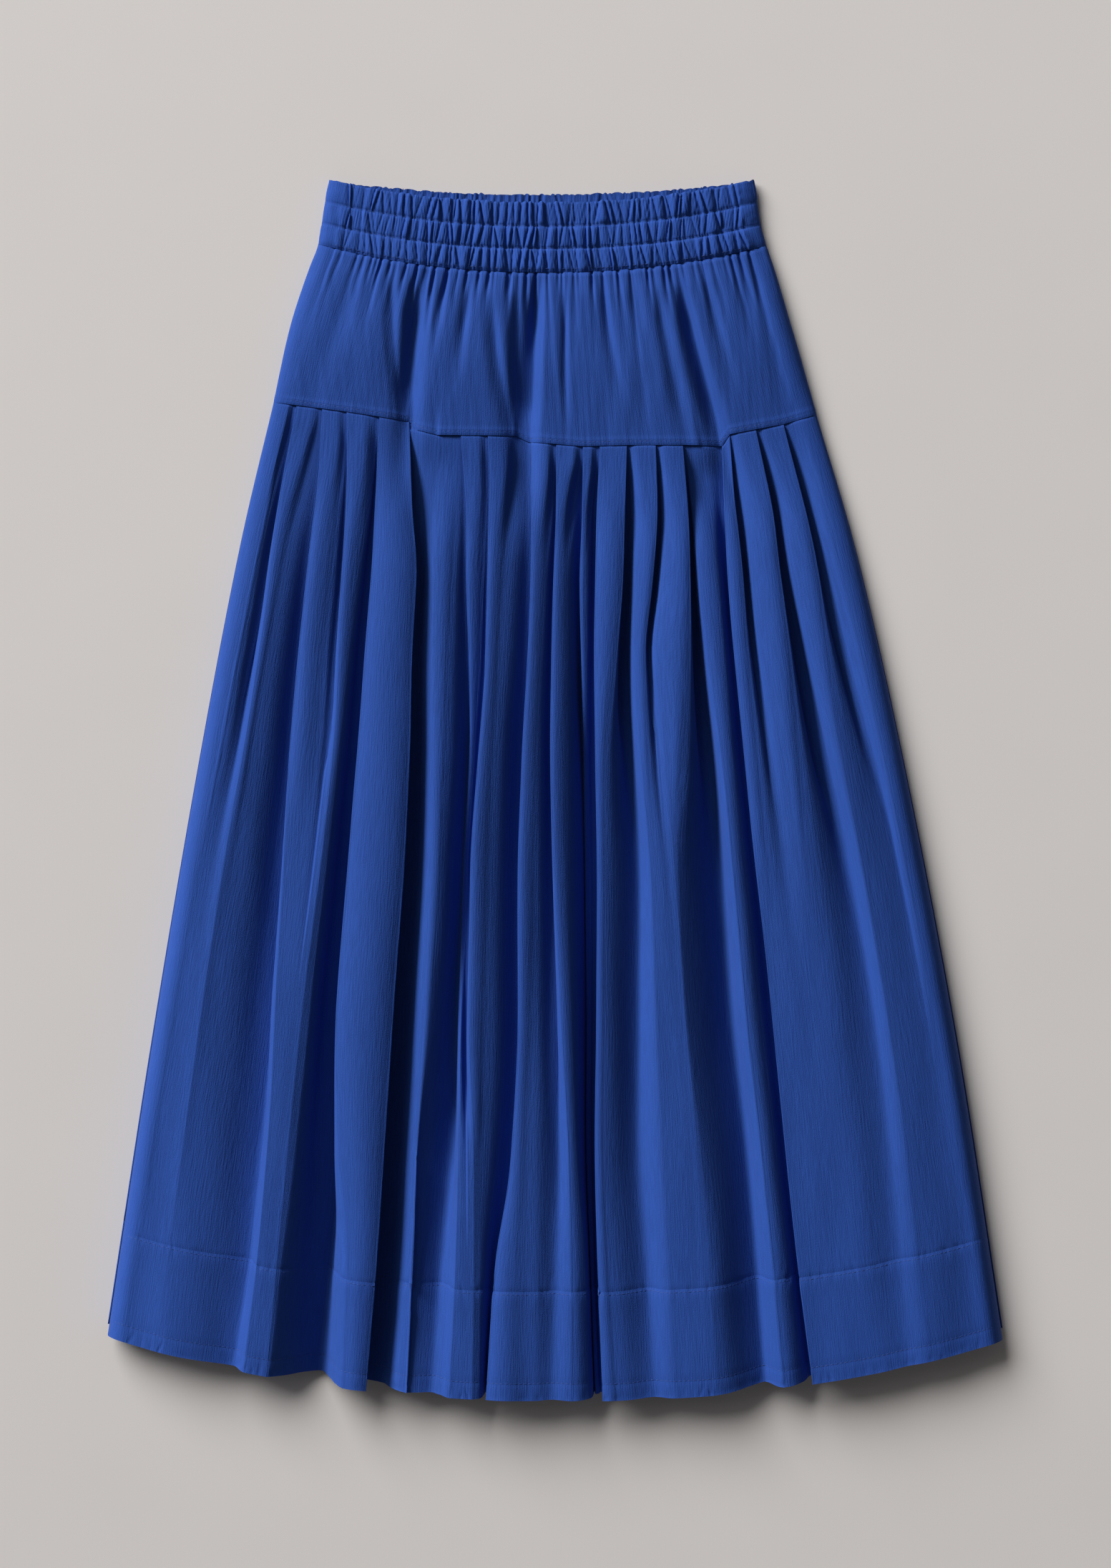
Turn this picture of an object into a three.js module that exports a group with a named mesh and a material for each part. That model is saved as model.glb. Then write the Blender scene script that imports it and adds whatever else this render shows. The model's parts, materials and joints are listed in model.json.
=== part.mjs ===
// A pleated midi skirt with an elasticated waistband of three channels, a gathered yoke, knife pleats
// and a deep hem band, laid flat with its front up.
// Millimetres. X runs across the skirt, Y from the hem to the waist, Z up from the surface it lies on.
// Every panel is a cloth wall: a grid of points on its outer face, and the same grid moved inwards.
import * as THREE from "three";

// Cloth
const WALL = 1;
const WAISTBAND_WALL = 2; // two layers of cloth over flat elastic
const SEAM_GAP = 0.3;
const LAYER_GAP = 0.35; // between layers that are pressed on each other
const MITRE_LIMIT = 1.6;
const CLOTH_BLUE = 0x2c4f9e;

// Rows down the front, from the waist to the hem: y at the left edge, the middle and the right edge, the x
// that it runs from and to, and the heights of the folds' crests and of the side seams.
const ROWS = [
  { name: "waist_top", left: 450, middle: 433, right: 450, from: -167, to: 147, crest: 14, side: 7 },
  { name: "stitch_1", left: 434, middle: 415.5, right: 433.5, from: -170, to: 149.5, crest: 14, side: 7 },
  { name: "stitch_2", left: 418, middle: 399, right: 417, from: -172.5, to: 152, crest: 14, side: 7 },
  { name: "waist_seam", left: 403, middle: 382, right: 402, from: -175, to: 156, crest: 14, side: 7 },
  { name: "yoke_upper", left: 385, middle: 362, right: 383, from: -181.5, to: 162, crest: 15.5, side: 7 },
  { name: "yoke_middle", left: 344, middle: 317.5, right: 340, from: -194.5, to: 174.5, crest: 16, side: 7 },
  { name: "yoke_seam", left: 286, middle: 254.5, right: 277, from: -208, to: 193, crest: 14, side: 7 },
  { name: "upper", left: 182.5, middle: 150.5, right: 174.5, from: -232, to: 222.5, crest: 19, side: 8 },
  { name: "middle", left: 10, middle: -25, right: 3.5, from: -264.5, to: 260.5, crest: 26, side: 9 },
  { name: "lower", left: -196.5, middle: -236, right: -201.5, from: -299, to: 299, crest: 31, side: 10 },
  { name: "hem", left: -403.5, middle: -450, right: -406.5, from: -330.5, to: 330.5, crest: 35, side: 11 },
];
const HEM_BAND_DEPTH = 80;
const CROWN_SHAPE = 2.2; // power of the curve that a row sags by
const HEM_DROOP = 0.3; // a fold's floor ends this share of its depth above its crest's hem
const BACK_WAIST_RISE = 7; // the back waistband stands this far above the front's sagging edge
const BACK_HEM_RISE = 8; // the back's hem lies this far inside the front's

// The line of the yoke seam: how much of the row's sag it has, at shares of the width from the left edge.
const SEAM_LINE = [
  { across: 0, sag: 0 },
  { across: 0.135, sag: 0.22 },
  { across: 0.25, sag: 0.44 },
  { across: 0.264, sag: 0.67 },
  { across: 0.303, sag: 0.8 },
  { across: 0.447, sag: 0.77 },
  { across: 0.47, sag: 0.93 },
  { across: 0.57, sag: 1.02 },
  { across: 0.651, sag: 0.96 },
  { across: 0.754, sag: 0.92 },
  { across: 0.826, sag: 0.92 },
  { across: 0.84, sag: 0.6 },
  { across: 0.939, sag: 0.29 },
  { across: 1, sag: 0 },
];
const SEAM_LINE_REACH = 100; // the seam's own line fades out of the rows within this distance

// Side seams
const SHOULDER = 12; // the cloth turns over within this distance of each side
const SHOULDER_RISE = 0.7; // share of the crest's height that it has reached there
const CROWN_REACH = 50; // and it reaches all of it in this much more
const SIDE_STEPS = [0, 1.2, 4.5, SHOULDER];

// Rows of points besides those at the seams and the table's own: how far down the cloth they lie.
const YOKE_LOWER_ROW = 150;
const PLEAT_TOP_ROW = 225;
const PLEAT_OPEN_ROW = 365;

// The front's folds, from left to right. Each is a valley between two faces of cloth, and `edge` is the
// side that its crisp folded edge faces. `seam` holds where its left and right edges lie at the yoke seam,
// as shares of the width; then, at four rows, its left edge, right edge and depth. `floor` is where between
// its edges it is deepest, and `drop` is how far the face on its right lies below the crests at those rows.
const FRONT_FOLDS = [
  {
    edge: "left", floor: 0.5, seam: [0.043, 0.043], drop: [1, 0.5, 0, 0],
    upper: [0.03, 0.044, 6], middle: [0.026, 0.038, 2], lower: [0.024, 0.036, 0.8], hem: [0.024, 0.036, 0.6],
  },
  {
    edge: "left", floor: 0.5, seam: [0.09, 0.09], drop: [1, 2, 0, 0],
    upper: [0.07, 0.108, 12], middle: [0.074, 0.126, 19], lower: [0.074, 0.14, 18], hem: [0.074, 0.142, 9],
  },
  {
    edge: "left", floor: 0.5, seam: [0.135, 0.135], drop: [0, 0, 0, 0],
    upper: [0.142, 0.162, 6], middle: [0.172, 0.18, 2.5], lower: [0.172, 0.18, 0.6], hem: [0.172, 0.18, 0.6],
  },
  {
    edge: "left", floor: 0.35, seam: [0.195, 0.195], drop: [0, 0, 0, 0],
    upper: [0.196, 0.216, 12], middle: [0.196, 0.221, 19], lower: [0.191, 0.229, 24], hem: [0.188, 0.24, 27],
  },
  {
    edge: "right", floor: 0.3, seam: [0.25, 0.303], drop: [3, 6, 5, 2],
    upper: [0.272, 0.312, 13], middle: [0.289, 0.331, 20], lower: [0.294, 0.333, 24], hem: [0.291, 0.33, 21],
  },
  {
    edge: "left", floor: 0.6, seam: [0.345, 0.345], drop: [5, 17, 17, 2],
    upper: [0.342, 0.362, 12], middle: [0.346, 0.379, 20], lower: [0.34, 0.374, 21], hem: [0.338, 0.368, 7],
  },
  {
    edge: "left", floor: 0.5, seam: [0.395, 0.395], drop: [0, 0, 0, 0],
    upper: [0.388, 0.4, 11], middle: [0.385, 0.3915, 20], lower: [0.379, 0.3885, 19], hem: [0.378, 0.388, 5],
  },
  {
    edge: "left", floor: 0.8, seam: [0.447, 0.475], drop: [0, 0, 0, 0],
    upper: [0.425, 0.47, 12], middle: [0.4125, 0.454, 18], lower: [0.412, 0.456, 16], hem: [0.42, 0.436, 14],
  },
  {
    edge: "left", floor: 0.6, seam: [0.521, 0.521], drop: [0, 0, 0, 0],
    upper: [0.5, 0.508, 9], middle: [0.483, 0.5, 13], lower: [0.476, 0.496, 9], hem: [0.478, 0.492, 2],
  },
  {
    edge: "left", floor: 0.5, seam: [0.57, 0.57], drop: [3, 16, 21, 15],
    upper: [0.53, 0.554, 13], middle: [0.524, 0.543, 20], lower: [0.526, 0.533, 25], hem: [0.5403, 0.5443, 20],
  },
  {
    edge: "left", floor: 0.5, seam: [0.601, 0.601], drop: [0, 0, 0, 0],
    upper: [0.57, 0.58, 9], middle: [0.549, 0.562, 20], lower: [0.539, 0.553, 25], hem: [0.5485, 0.5525, 19],
  },
  {
    edge: "right", floor: 0.5, seam: [0.651, 0.651], drop: [1, 2, 0, 0],
    upper: [0.62, 0.636, 13], middle: [0.593, 0.613, 19], lower: [0.588, 0.618, 15], hem: [0.598, 0.616, 4],
  },
  {
    edge: "right", floor: 0.5, seam: [0.704, 0.704], drop: [0, 0, 0, 0],
    upper: [0.668, 0.68, 9], middle: [0.625, 0.633, 2.5], lower: [0.632, 0.642, 0.6], hem: [0.635, 0.645, 0.6],
  },
  {
    edge: "right", floor: 0.6, seam: [0.754, 0.754], drop: [1, 1, 1, 1],
    upper: [0.73, 0.742, 12], middle: [0.702, 0.734, 19], lower: [0.688, 0.727, 20], hem: [0.692, 0.733, 18],
  },
  {
    edge: "left", floor: 0.6, seam: [0.785, 0.826], drop: [0, 0, 0, 0],
    upper: [0.778, 0.79, 13], middle: [0.768, 0.776, 19], lower: [0.765, 0.776, 22], hem: [0.773, 0.784, 20],
  },
  {
    edge: "right", floor: 0.5, seam: [0.84, 0.84], drop: [0, 0, 0, 0],
    upper: [0.812, 0.824, 9], middle: [0.805, 0.822, 4], lower: [0.802, 0.822, 1], hem: [0.81, 0.83, 0.6],
  },
  {
    edge: "right", floor: 0.5, seam: [0.888, 0.888], drop: [0, 0, 0, 0],
    upper: [0.87, 0.882, 11], middle: [0.869, 0.888, 15], lower: [0.862, 0.886, 7], hem: [0.868, 0.886, 1.5],
  },
  {
    edge: "right", floor: 0.5, seam: [0.939, 0.939], drop: [1, 1, 0, 0],
    upper: [0.932, 0.956, 7], middle: [0.942, 0.964, 5], lower: [0.942, 0.964, 3], hem: [0.942, 0.964, 1],
  },
];
const PLEAT_TUCK = { seam: 13, hem: 3 }; // hidden depth of a knife pleat
const UNDERLAY_TRIM = 5; // the hidden layers stop this far below the yoke seam
const PLEAT_STACK = 2 * WALL + 2 * LAYER_GAP; // what a folded pleat stands above its own underlay
const OPENED_AT = 0.17; // share of the length at which a pleat has opened into a round fold
const LEAST_MOUTH = 2.4; // narrowest that a fold's mouth gets
const LEAST_DEPTH = 0.4;
const LEAST_TUCK = 1;
const LEAST_TURN = 0.3; // a face too narrow to cover an underlay meets the floor this far outside its edge
const FACE_CROWN = 0.1; // how round a face is, as a share of its width
const FACE_CROWN_MOST = 4;
// How far a face comes down at its round side: shares of the valley's depth and of the face, and the most.
const FACE_DROOP = { depth: 0.32, face: 0.2, most: 7 };
const VALLEY_BULGE = { at: 0.6, height: 0.62 }; // a valley's round side bulges here, between its ends
const FACE_RAMP = 3; // a folded face comes down to the next pleat's edge over this run

// The back's knife pleats are even, and stay pressed where the skirt lies on them.
const BACK_PLEATS = 16;
const BACK_TUCK = { seam: 10, hem: 7 };
const BACK_RAMP = { from: 4, to: 0.8 }; // a face climbs onto the next underlay between these distances
const BACK_MARGIN = 2; // flat cloth left between the side's curve and the first pleat
const BACK_DRIFT = 0.006; // how uneven the pleats have become at the hem

// Soft folds that run down the yoke: where they lie at the waist seam and at the yoke seam, as shares of
// the width, their half width, and their depth at the waist seam, in the middle and at the yoke seam.
const YOKE_FOLDS = [
  { top: 0.12, bottom: 0.1, half: 9, depths: [0.8, 2, 0] },
  { top: 0.17, bottom: 0.235, half: 7, depths: [0.8, 3, 0.5] },
  { top: 0.258, bottom: 0.258, half: 11, depths: [1, 7, 1.5] },
  { top: 0.32, bottom: 0.285, half: 9, depths: [0.8, 4, 0.5] },
  { top: 0.39, bottom: 0.42, half: 9, depths: [0.8, 3, 0] },
  { top: 0.484, bottom: 0.472, half: 11, depths: [1.5, 8, 1.5] },
  { top: 0.53, bottom: 0.521, half: 7, depths: [0.8, 3.5, 0.5] },
  { top: 0.66, bottom: 0.64, half: 11, depths: [0.8, 3.5, 0] },
  { top: 0.74, bottom: 0.755, half: 9, depths: [0.8, 3, 0.5] },
  { top: 0.8, bottom: 0.828, half: 11, depths: [1, 7, 1.5] },
  { top: 0.86, bottom: 0.87, half: 9, depths: [0.8, 2.5, 0] },
];

// Gathers of the elasticated channels
const GATHERS = 60;
const GATHER_RELIEF = 1.3; // half the height from trough to ridge
const GATHER_DRIFT = 0.28; // how unevenly they are spaced
const CHANNEL_PUFF = 1; // how far a channel stands above its stitch lines
const YOKE_GATHER_REACH = 40; // the gathers run out within this distance below the waist seam
const BACK_GATHER_RELIEF = 0.8;

const clamp = (value, low, high) => Math.min(Math.max(value, low), high);
const mix = (a, b, share) => a + (b - a) * share;
const smooth = (low, high, value) => {
  const share = clamp((value - low) / (high - low), 0, 1);
  return share * share * (3 - 2 * share);
};

// A smooth curve through points with rising x, which doesn't overshoot them.
function curveThrough(points) {
  const slope = points.slice(1).map(([x, y], i) => (y - points[i][1]) / (x - points[i][0]));
  const tangent = points.map((point, i) => {
    if (i === 0) return slope[0];
    if (i === points.length - 1) return slope[i - 1];
    const [before, after] = [slope[i - 1], slope[i]];
    return before * after <= 0 ? 0 : (2 * before * after) / (before + after);
  });
  return (x) => {
    let i = 0;
    while (i < points.length - 2 && x > points[i + 1][0]) i += 1;
    const [x0, y0] = points[i];
    const [x1, y1] = points[i + 1];
    const step = x1 - x0;
    const s = clamp((x - x0) / step, 0, 1);
    const rise = s * s * (3 - 2 * s);
    const lead = s * (1 - s) * (1 - s) * step * tangent[i];
    const trail = s * s * (1 - s) * step * tangent[i + 1];
    return mix(y0, y1, rise) + lead - trail;
  };
}

function straightThrough(points) {
  return (x) => {
    let i = 0;
    while (i < points.length - 2 && x > points[i + 1][0]) i += 1;
    const [x0, y0] = points[i];
    const [x1, y1] = points[i + 1];
    return mix(y0, y1, clamp((x - x0) / (x1 - x0), 0, 1));
  };
}

// Distance down the cloth, measured along its middle from the waist's top edge.
const downTo = (row) => ROWS[0].middle - row.middle;
const down = Object.fromEntries(ROWS.map((row) => [row.name, downTo(row)]));
const hemBandTop = down.hem - HEM_BAND_DEPTH;
const columns = ["left", "middle", "right", "from", "to", "crest", "side"];
const rowCurves = Object.fromEntries(
  columns.map((key) => [key, curveThrough(ROWS.map((row) => [downTo(row), row[key]]))]),
);
const rowAt = (d) => Object.fromEntries(columns.map((key) => [key, rowCurves[key](d)]));
const seamLine = straightThrough(SEAM_LINE.map(({ across, sag }) => [across, sag]));
const skirtShare = (d) => clamp((d - down.yoke_seam) / (down.hem - down.yoke_seam), 0, 1);

// y of a row at a share of the width. A row sags in the middle, and near the yoke seam the front's rows
// follow its seam.
function rowY(row, across, d, front) {
  const ownLine = front ? 1 - smooth(0, SEAM_LINE_REACH, Math.abs(d - down.yoke_seam)) : 0;
  const plain = 1 - Math.abs(2 * clamp(across, 0, 1) - 1) ** CROWN_SHAPE;
  const sag = mix(plain, seamLine(across), ownLine);
  return mix(row.left, row.right, across) + (row.middle - (row.left + row.right) / 2) * sag;
}

// Height of the front's crests at a share of the width: the cloth turns over at the sides.
function crestZ(row, across) {
  const width = row.to - row.from;
  const inward = Math.min(across, 1 - across) * width;
  const turn = Math.sqrt(Math.max(0, 1 - (1 - clamp(inward / SHOULDER, 0, 1)) ** 2));
  const rest = smooth(SHOULDER, SHOULDER + CROWN_REACH, inward);
  const rise = SHOULDER_RISE * turn + (1 - SHOULDER_RISE) * rest;
  return mix(row.side + SEAM_GAP / 2, row.crest, rise);
}

function sideShares(row) {
  const width = row.to - row.from;
  const left = SIDE_STEPS.map((step) => step / width);
  return { left, right: left.map((share) => 1 - share).reverse() };
}

// A point of a front panel, and of a back panel, from the row, a share of the width and a height.
function frontPoint({ row, d }, { across, z, trim = 0 }) {
  const droop = HEM_DROOP * skirtShare(d) ** 2 * Math.max(0, crestZ(row, across) - z);
  const y = rowY(row, across, d, true) + droop - trim;
  return new THREE.Vector3(mix(row.from, row.to, across), y, z);
}

function backPoint({ row, d }, { across, z }) {
  const bow = 1 - Math.abs(2 * clamp(across, 0, 1) - 1) ** CROWN_SHAPE;
  const waistRise = BACK_WAIST_RISE * bow * (1 - smooth(down.waist_seam, down.yoke_middle, d));
  const rise = waistRise + BACK_HEM_RISE * skirtShare(d);
  return new THREE.Vector3(mix(row.from, row.to, across), rowY(row, across, d, false) + rise, z);
}

// One fold's edges, depth and drop at a share of the skirt's length, as curves through its table row.
const FOLD_ROWS = ["yoke_seam", "upper", "middle", "lower", "hem"];
const foldCurves = FRONT_FOLDS.map(({ edge, floor, seam, upper, middle, lower, hem, drop }) => {
  const opened = [upper, middle, lower, hem].map((at, i) => [...at, drop[i]]);
  const values = [[...seam, PLEAT_STACK, 0], ...opened];
  const shares = FOLD_ROWS.map((name) => skirtShare(down[name]));
  const curve = (column) => curveThrough(shares.map((share, i) => [share, values[i][column]]));
  const [left, right, depth, dropCurve] = [0, 1, 2, 3].map(curve);
  return { facesLeft: edge === "left", floor, left, right, depth, drop: dropCurve };
});

// Where the folds and the faces between them lie at a share of the length, in millimetres from the left
// edge. A face that a crisp edge belongs to covers that pleat's underlay, as far as it is wide enough.
function foldsAt(share, row) {
  const width = row.to - row.from;
  const opened = smooth(0, OPENED_AT, share);
  const folds = foldCurves.map(({ facesLeft, floor, left, right, depth, drop }) => {
    const [from, to] = [left(share) * width, right(share) * width];
    const mouth = Math.max(to - from, LEAST_MOUTH);
    const edgeAt = facesLeft ? to : from;
    const shoulderAt = facesLeft ? to - mouth : from + mouth;
    const place = { from, to, mouth, edgeAt, shoulderAt };
    return { facesLeft, floor, ...place, depth: depth(share), dropAfter: drop(share) };
  });
  folds.forEach((fold, i) => {
    fold.dropBefore = i > 0 ? folds[i - 1].dropAfter : 0;
    const faceFrom = i > 0 ? folds[i - 1].to : SHOULDER;
    const faceTo = i < folds.length - 1 ? folds[i + 1].from : width - SHOULDER;
    fold.face = Math.max(fold.facesLeft ? fold.from - faceFrom : faceTo - fold.to, 0);
    const other = folds[fold.facesLeft ? i + 1 : i - 1];
    const sideAt = fold.facesLeft ? width - SHOULDER : SHOULDER;
    const crispBoth = other !== undefined && other.facesLeft !== fold.facesLeft;
    const otherAt = other === undefined ? sideAt : crispBoth ? other.edgeAt : other.shoulderAt;
    const room = Math.abs(otherAt - fold.edgeAt) - 2 * WALL - 2 * LAYER_GAP;
    const most = crispBoth ? room / 2 : room - FACE_RAMP * (1 - opened);
    fold.tuck = Math.min(mix(PLEAT_TUCK.seam, PLEAT_TUCK.hem, share), most);
  });
  return folds;
}

// The knots of one valley at a row, from its left face to its right face, as millimetres across and
// heights. Its crisp edge hangs over the underlay, unless the valley is too shallow or its face too narrow.
function valleyKnots(fold, share, row) {
  const width = row.to - row.from;
  const opened = smooth(0, OPENED_AT, share);
  const { facesLeft, edgeAt, shoulderAt, mouth, floor, tuck } = fold;
  const away = facesLeft ? -1 : 1;
  const floorAt = shoulderAt - away * mouth * (facesLeft ? floor : 1 - floor);
  const crest = crestZ(row, clamp(edgeAt / width, 0, 1));
  const lowest = PLEAT_STACK + WALL + LAYER_GAP + WALL;
  const drops = facesLeft ? [fold.dropBefore, fold.dropAfter] : [fold.dropAfter, fold.dropBefore];
  const [shoulderDrop, edgeDrop] = drops;
  const edgeZ = crest - edgeDrop;
  const floorZ = Math.max(Math.min(crest - fold.depth, edgeZ - LEAST_DEPTH), lowest);
  const droop = Math.min(FACE_DROOP.depth * fold.depth, FACE_DROOP.face * fold.face, FACE_DROOP.most);
  const roundZ = crestZ(row, clamp(shoulderAt / width, 0, 1)) - shoulderDrop - droop;
  const shoulderZ = mix(floorZ, Math.max(roundZ, floorZ), opened);
  const covered = tuck > LEAST_TUCK && edgeZ - floorZ > PLEAT_STACK - 0.01;
  const insideAt = covered ? edgeAt - away * tuck : edgeAt + away * LEAST_TURN;
  const turnZ = covered ? edgeZ - 2 * WALL - LAYER_GAP : mix(floorZ, edgeZ, 0.5);
  const trim = covered ? UNDERLAY_TRIM * (1 - opened) : 0;
  const upturnZ = covered ? Math.min(floorZ + LAYER_GAP, turnZ) : mix(floorZ, edgeZ, 0.2);
  const knots = [
    { at: shoulderAt, z: shoulderZ },
    { at: mix(shoulderAt, floorAt, VALLEY_BULGE.at), z: mix(floorZ, shoulderZ, VALLEY_BULGE.height) },
    { at: floorAt, z: floorZ },
    { at: insideAt, z: floorZ, trim },
    { at: insideAt, z: upturnZ, trim },
    { at: edgeAt, z: turnZ },
    { at: edgeAt, z: edgeZ },
  ];
  return facesLeft ? knots : knots.reverse();
}

// The middle knot of a face: while its pleats are folded it marks where the underlay below it ends, and
// once they have opened it makes the face round.
function faceKnot(before, after, foldBefore, foldAfter, opened) {
  const span = after.at - before.at;
  const crown = Math.min(FACE_CROWN * span, FACE_CROWN_MOST);
  const open = { at: (before.at + after.at) / 2, z: (before.z + after.z) / 2 + crown };
  const reach = WALL + LAYER_GAP;
  let folded = { at: open.at, z: open.z - crown };
  if (foldBefore?.facesLeft) {
    folded = { at: before.at + Math.max(foldBefore.tuck, LEAST_TUCK) + reach, z: before.z };
  } else if (foldAfter && !foldAfter.facesLeft) {
    folded = { at: after.at - Math.max(foldAfter.tuck, LEAST_TUCK) - reach, z: after.z };
  }
  return { at: mix(folded.at, open.at, opened), z: mix(folded.z, open.z, opened) };
}

// The front skirt's section at a distance down the cloth.
function frontSection(d) {
  const row = rowAt(d);
  const share = skirtShare(d);
  const width = row.to - row.from;
  const opened = smooth(0, OPENED_AT, share);
  const folds = foldsAt(share, row);
  const knots = SIDE_STEPS.map((step) => ({ at: step, z: crestZ(row, step / width) }));
  folds.forEach((fold, i) => {
    const valley = valleyKnots(fold, share, row);
    knots.push(faceKnot(knots[knots.length - 1], valley[0], folds[i - 1], fold, opened), ...valley);
  });
  const rightSide = SIDE_STEPS.map((step) => ({ at: width - step, z: crestZ(row, step / width) })).reverse();
  knots.push(faceKnot(knots[knots.length - 1], rightSide[0], folds[folds.length - 1], undefined, opened));
  knots.push(...rightSide);
  return { row, d, knots: knots.map(({ at, z, trim = 0 }) => ({ across: at / width, z, trim })) };
}

// The back lies face down: its outer face is on the surface, and its pleats' underlays are stacked inside.
function backPleat(i, share, width) {
  const margin = (SHOULDER + BACK_RAMP.from + BACK_MARGIN) / width;
  const even = mix(margin, 1 - margin, i / (BACK_PLEATS - 1));
  const drift = BACK_DRIFT * Math.sin(i * 2.4) * share * (i > 0 && i < BACK_PLEATS - 1 ? 1 : 0);
  return { at: even + drift, facesLeft: even < 0.5 };
}

function backSideKnots(row) {
  const width = row.to - row.from;
  const low = row.side - SEAM_GAP / 2;
  return SIDE_STEPS.map((step) => {
    const turn = Math.sqrt(1 - (1 - step / SHOULDER) ** 2);
    return { across: step / width, z: low * (1 - turn) };
  });
}

function backSection(d) {
  const row = rowAt(d);
  const width = row.to - row.from;
  const share = skirtShare(d);
  const sideKnots = backSideKnots(row);
  const knots = [...sideKnots];
  const tuck = mix(BACK_TUCK.seam, BACK_TUCK.hem, share) / width;
  for (let i = 0; i < BACK_PLEATS; i += 1) {
    const { at, facesLeft } = backPleat(i, share, width);
    const away = facesLeft ? -1 : 1;
    const pleat = [
      { across: at + (away * BACK_RAMP.from) / width, z: 0 },
      { across: at + (away * BACK_RAMP.to) / width, z: PLEAT_STACK },
      { across: at - away * tuck, z: PLEAT_STACK },
      { across: at - away * tuck, z: PLEAT_STACK - LAYER_GAP },
      { across: at, z: PLEAT_STACK - LAYER_GAP },
      { across: at, z: 0 },
    ];
    knots.push(...(facesLeft ? pleat : pleat.reverse()));
  }
  const mirrored = sideKnots.map(({ across, z }) => ({ across: 1 - across, z })).reverse();
  knots.push(...mirrored);
  return { row, d, knots };
}

// Gathers: a ridge and a trough each, unevenly spaced and unevenly deep.
const gatherAt = (i) => (i + 0.5 + GATHER_DRIFT * Math.sin(i * 2.4)) / GATHERS;
const gatherDepth = (i) => 0.8 + 0.2 * Math.sin(i * 1.7 + 1);
function gatherKnots(row) {
  const sides = sideShares(row);
  const [low, high] = [sides.left.at(-1), sides.right[0]];
  const knots = sides.left.map((across) => ({ across, relief: 0 }));
  for (let i = 0; i < GATHERS; i += 1) {
    const here = gatherAt(i);
    const next = gatherAt(i + 1);
    knots.push({ across: mix(low, high, here), relief: -gatherDepth(i) });
    if (i < GATHERS - 1) knots.push({ across: mix(low, high, (here + next) / 2), relief: gatherDepth(i) });
  }
  knots.push(...sides.right.map((across) => ({ across, relief: 0 })));
  return knots;
}

// The height of a channel's cloth between its two stitch lines.
function puffAt(d) {
  const lines = [down.waist_top, down.stitch_1, down.stitch_2, down.waist_seam];
  const i = clamp(lines.findIndex((line) => line > d) - 1, 0, lines.length - 2);
  return CHANNEL_PUFF * Math.sin(Math.PI * clamp((d - lines[i]) / (lines[i + 1] - lines[i]), 0, 1));
}

function frontWaistband(d) {
  const row = rowAt(d);
  const heightOf = ({ across, relief }) => crestZ(row, across) + relief * GATHER_RELIEF + puffAt(d);
  return { row, d, knots: gatherKnots(row).map((knot) => ({ across: knot.across, z: heightOf(knot) })) };
}

// A gathered back lies flat, with its ridges on the surface. fade is how much of the gathers is left.
function gatheredBack(d, fade) {
  const row = rowAt(d);
  const sides = backSideKnots(row);
  const gathers = gatherKnots(row);
  const knots = gathers.map(({ across, relief }, i) => {
    const fromEnd = Math.min(i, gathers.length - 1 - i);
    const trough = BACK_GATHER_RELIEF * Math.max(0, relief) * fade;
    return { across, z: fromEnd < sides.length ? sides[fromEnd].z : trough };
  });
  return { row, d, knots };
}

// The yoke keeps the waistband's columns, and each bend of its seam line has a column of its own.
function yokeKnots(row) {
  const knots = gatherKnots(row);
  const inner = SEAM_LINE.slice(1, -1);
  for (const { across } of inner) {
    const off = (knot) => Math.abs(knot.across - across);
    const nearest = knots.reduce((a, b) => (off(b) < off(a) ? b : a));
    nearest.across = across;
  }
  return knots;
}

function yokeDip(row, across, d) {
  const s = (d - down.waist_seam) / (down.yoke_seam - down.waist_seam);
  const width = row.to - row.from;
  return YOKE_FOLDS.reduce((sum, { top, bottom, half, depths }) => {
    const depth = curveThrough([[0, depths[0]], [0.5, depths[1]], [1, depths[2]]])(s);
    const off = ((across - mix(top, bottom, s)) * width) / half;
    return sum + depth * Math.exp(-off * off);
  }, 0);
}

const yokeFade = (d) => 1 - smooth(0, YOKE_GATHER_REACH, d - down.waist_seam);
function frontYoke(d) {
  const row = rowAt(d);
  const gathers = yokeKnots(row);
  const knots = gathers.map(({ across, relief }, i) => {
    const onSide = Math.min(i, gathers.length - 1 - i) < SIDE_STEPS.length;
    const dip = onSide ? 0 : yokeDip(row, across, d);
    return { across, z: crestZ(row, across) - dip + relief * GATHER_RELIEF * yokeFade(d) };
  });
  return { row, d, knots };
}

// The inner face of a section: each knot moved in along the section's own normal, with its corners
// mitred. At the side seams the wall is cut level, so both ends move straight in.
function movedIn({ row, d, knots }, wall, outward) {
  const width = row.to - row.from;
  const last = knots.length - 1;
  const inner = knots.map((knot, i) => {
    if (i === 0) return { ...knot, across: knot.across + wall / width };
    if (i === last) return { ...knot, across: knot.across - wall / width };
    const [before, after] = [knots[i - 1], knots[i + 1]];
    const along = [
      [(knot.across - before.across) * width, knot.z - before.z],
      [(after.across - knot.across) * width, after.z - knot.z],
    ].filter(([x, z]) => Math.hypot(x, z) > 1e-9);
    const normals = along.map(([x, z]) => [-z, x].map((value) => (value * outward) / Math.hypot(x, z)));
    const sum = normals.reduce(([ax, az], [x, z]) => [ax + x, az + z], [0, 0]);
    const length = Math.hypot(...sum) || 1;
    const bisector = sum.map((value) => value / length);
    const cosine = bisector[0] * normals[0][0] + bisector[1] * normals[0][1];
    const move = wall * Math.min(1 / Math.max(cosine, 1e-6), MITRE_LIMIT);
    return { ...knot, across: knot.across - (bisector[0] * move) / width, z: knot.z - bisector[1] * move };
  });
  return { row, d, knots: inner };
}

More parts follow.
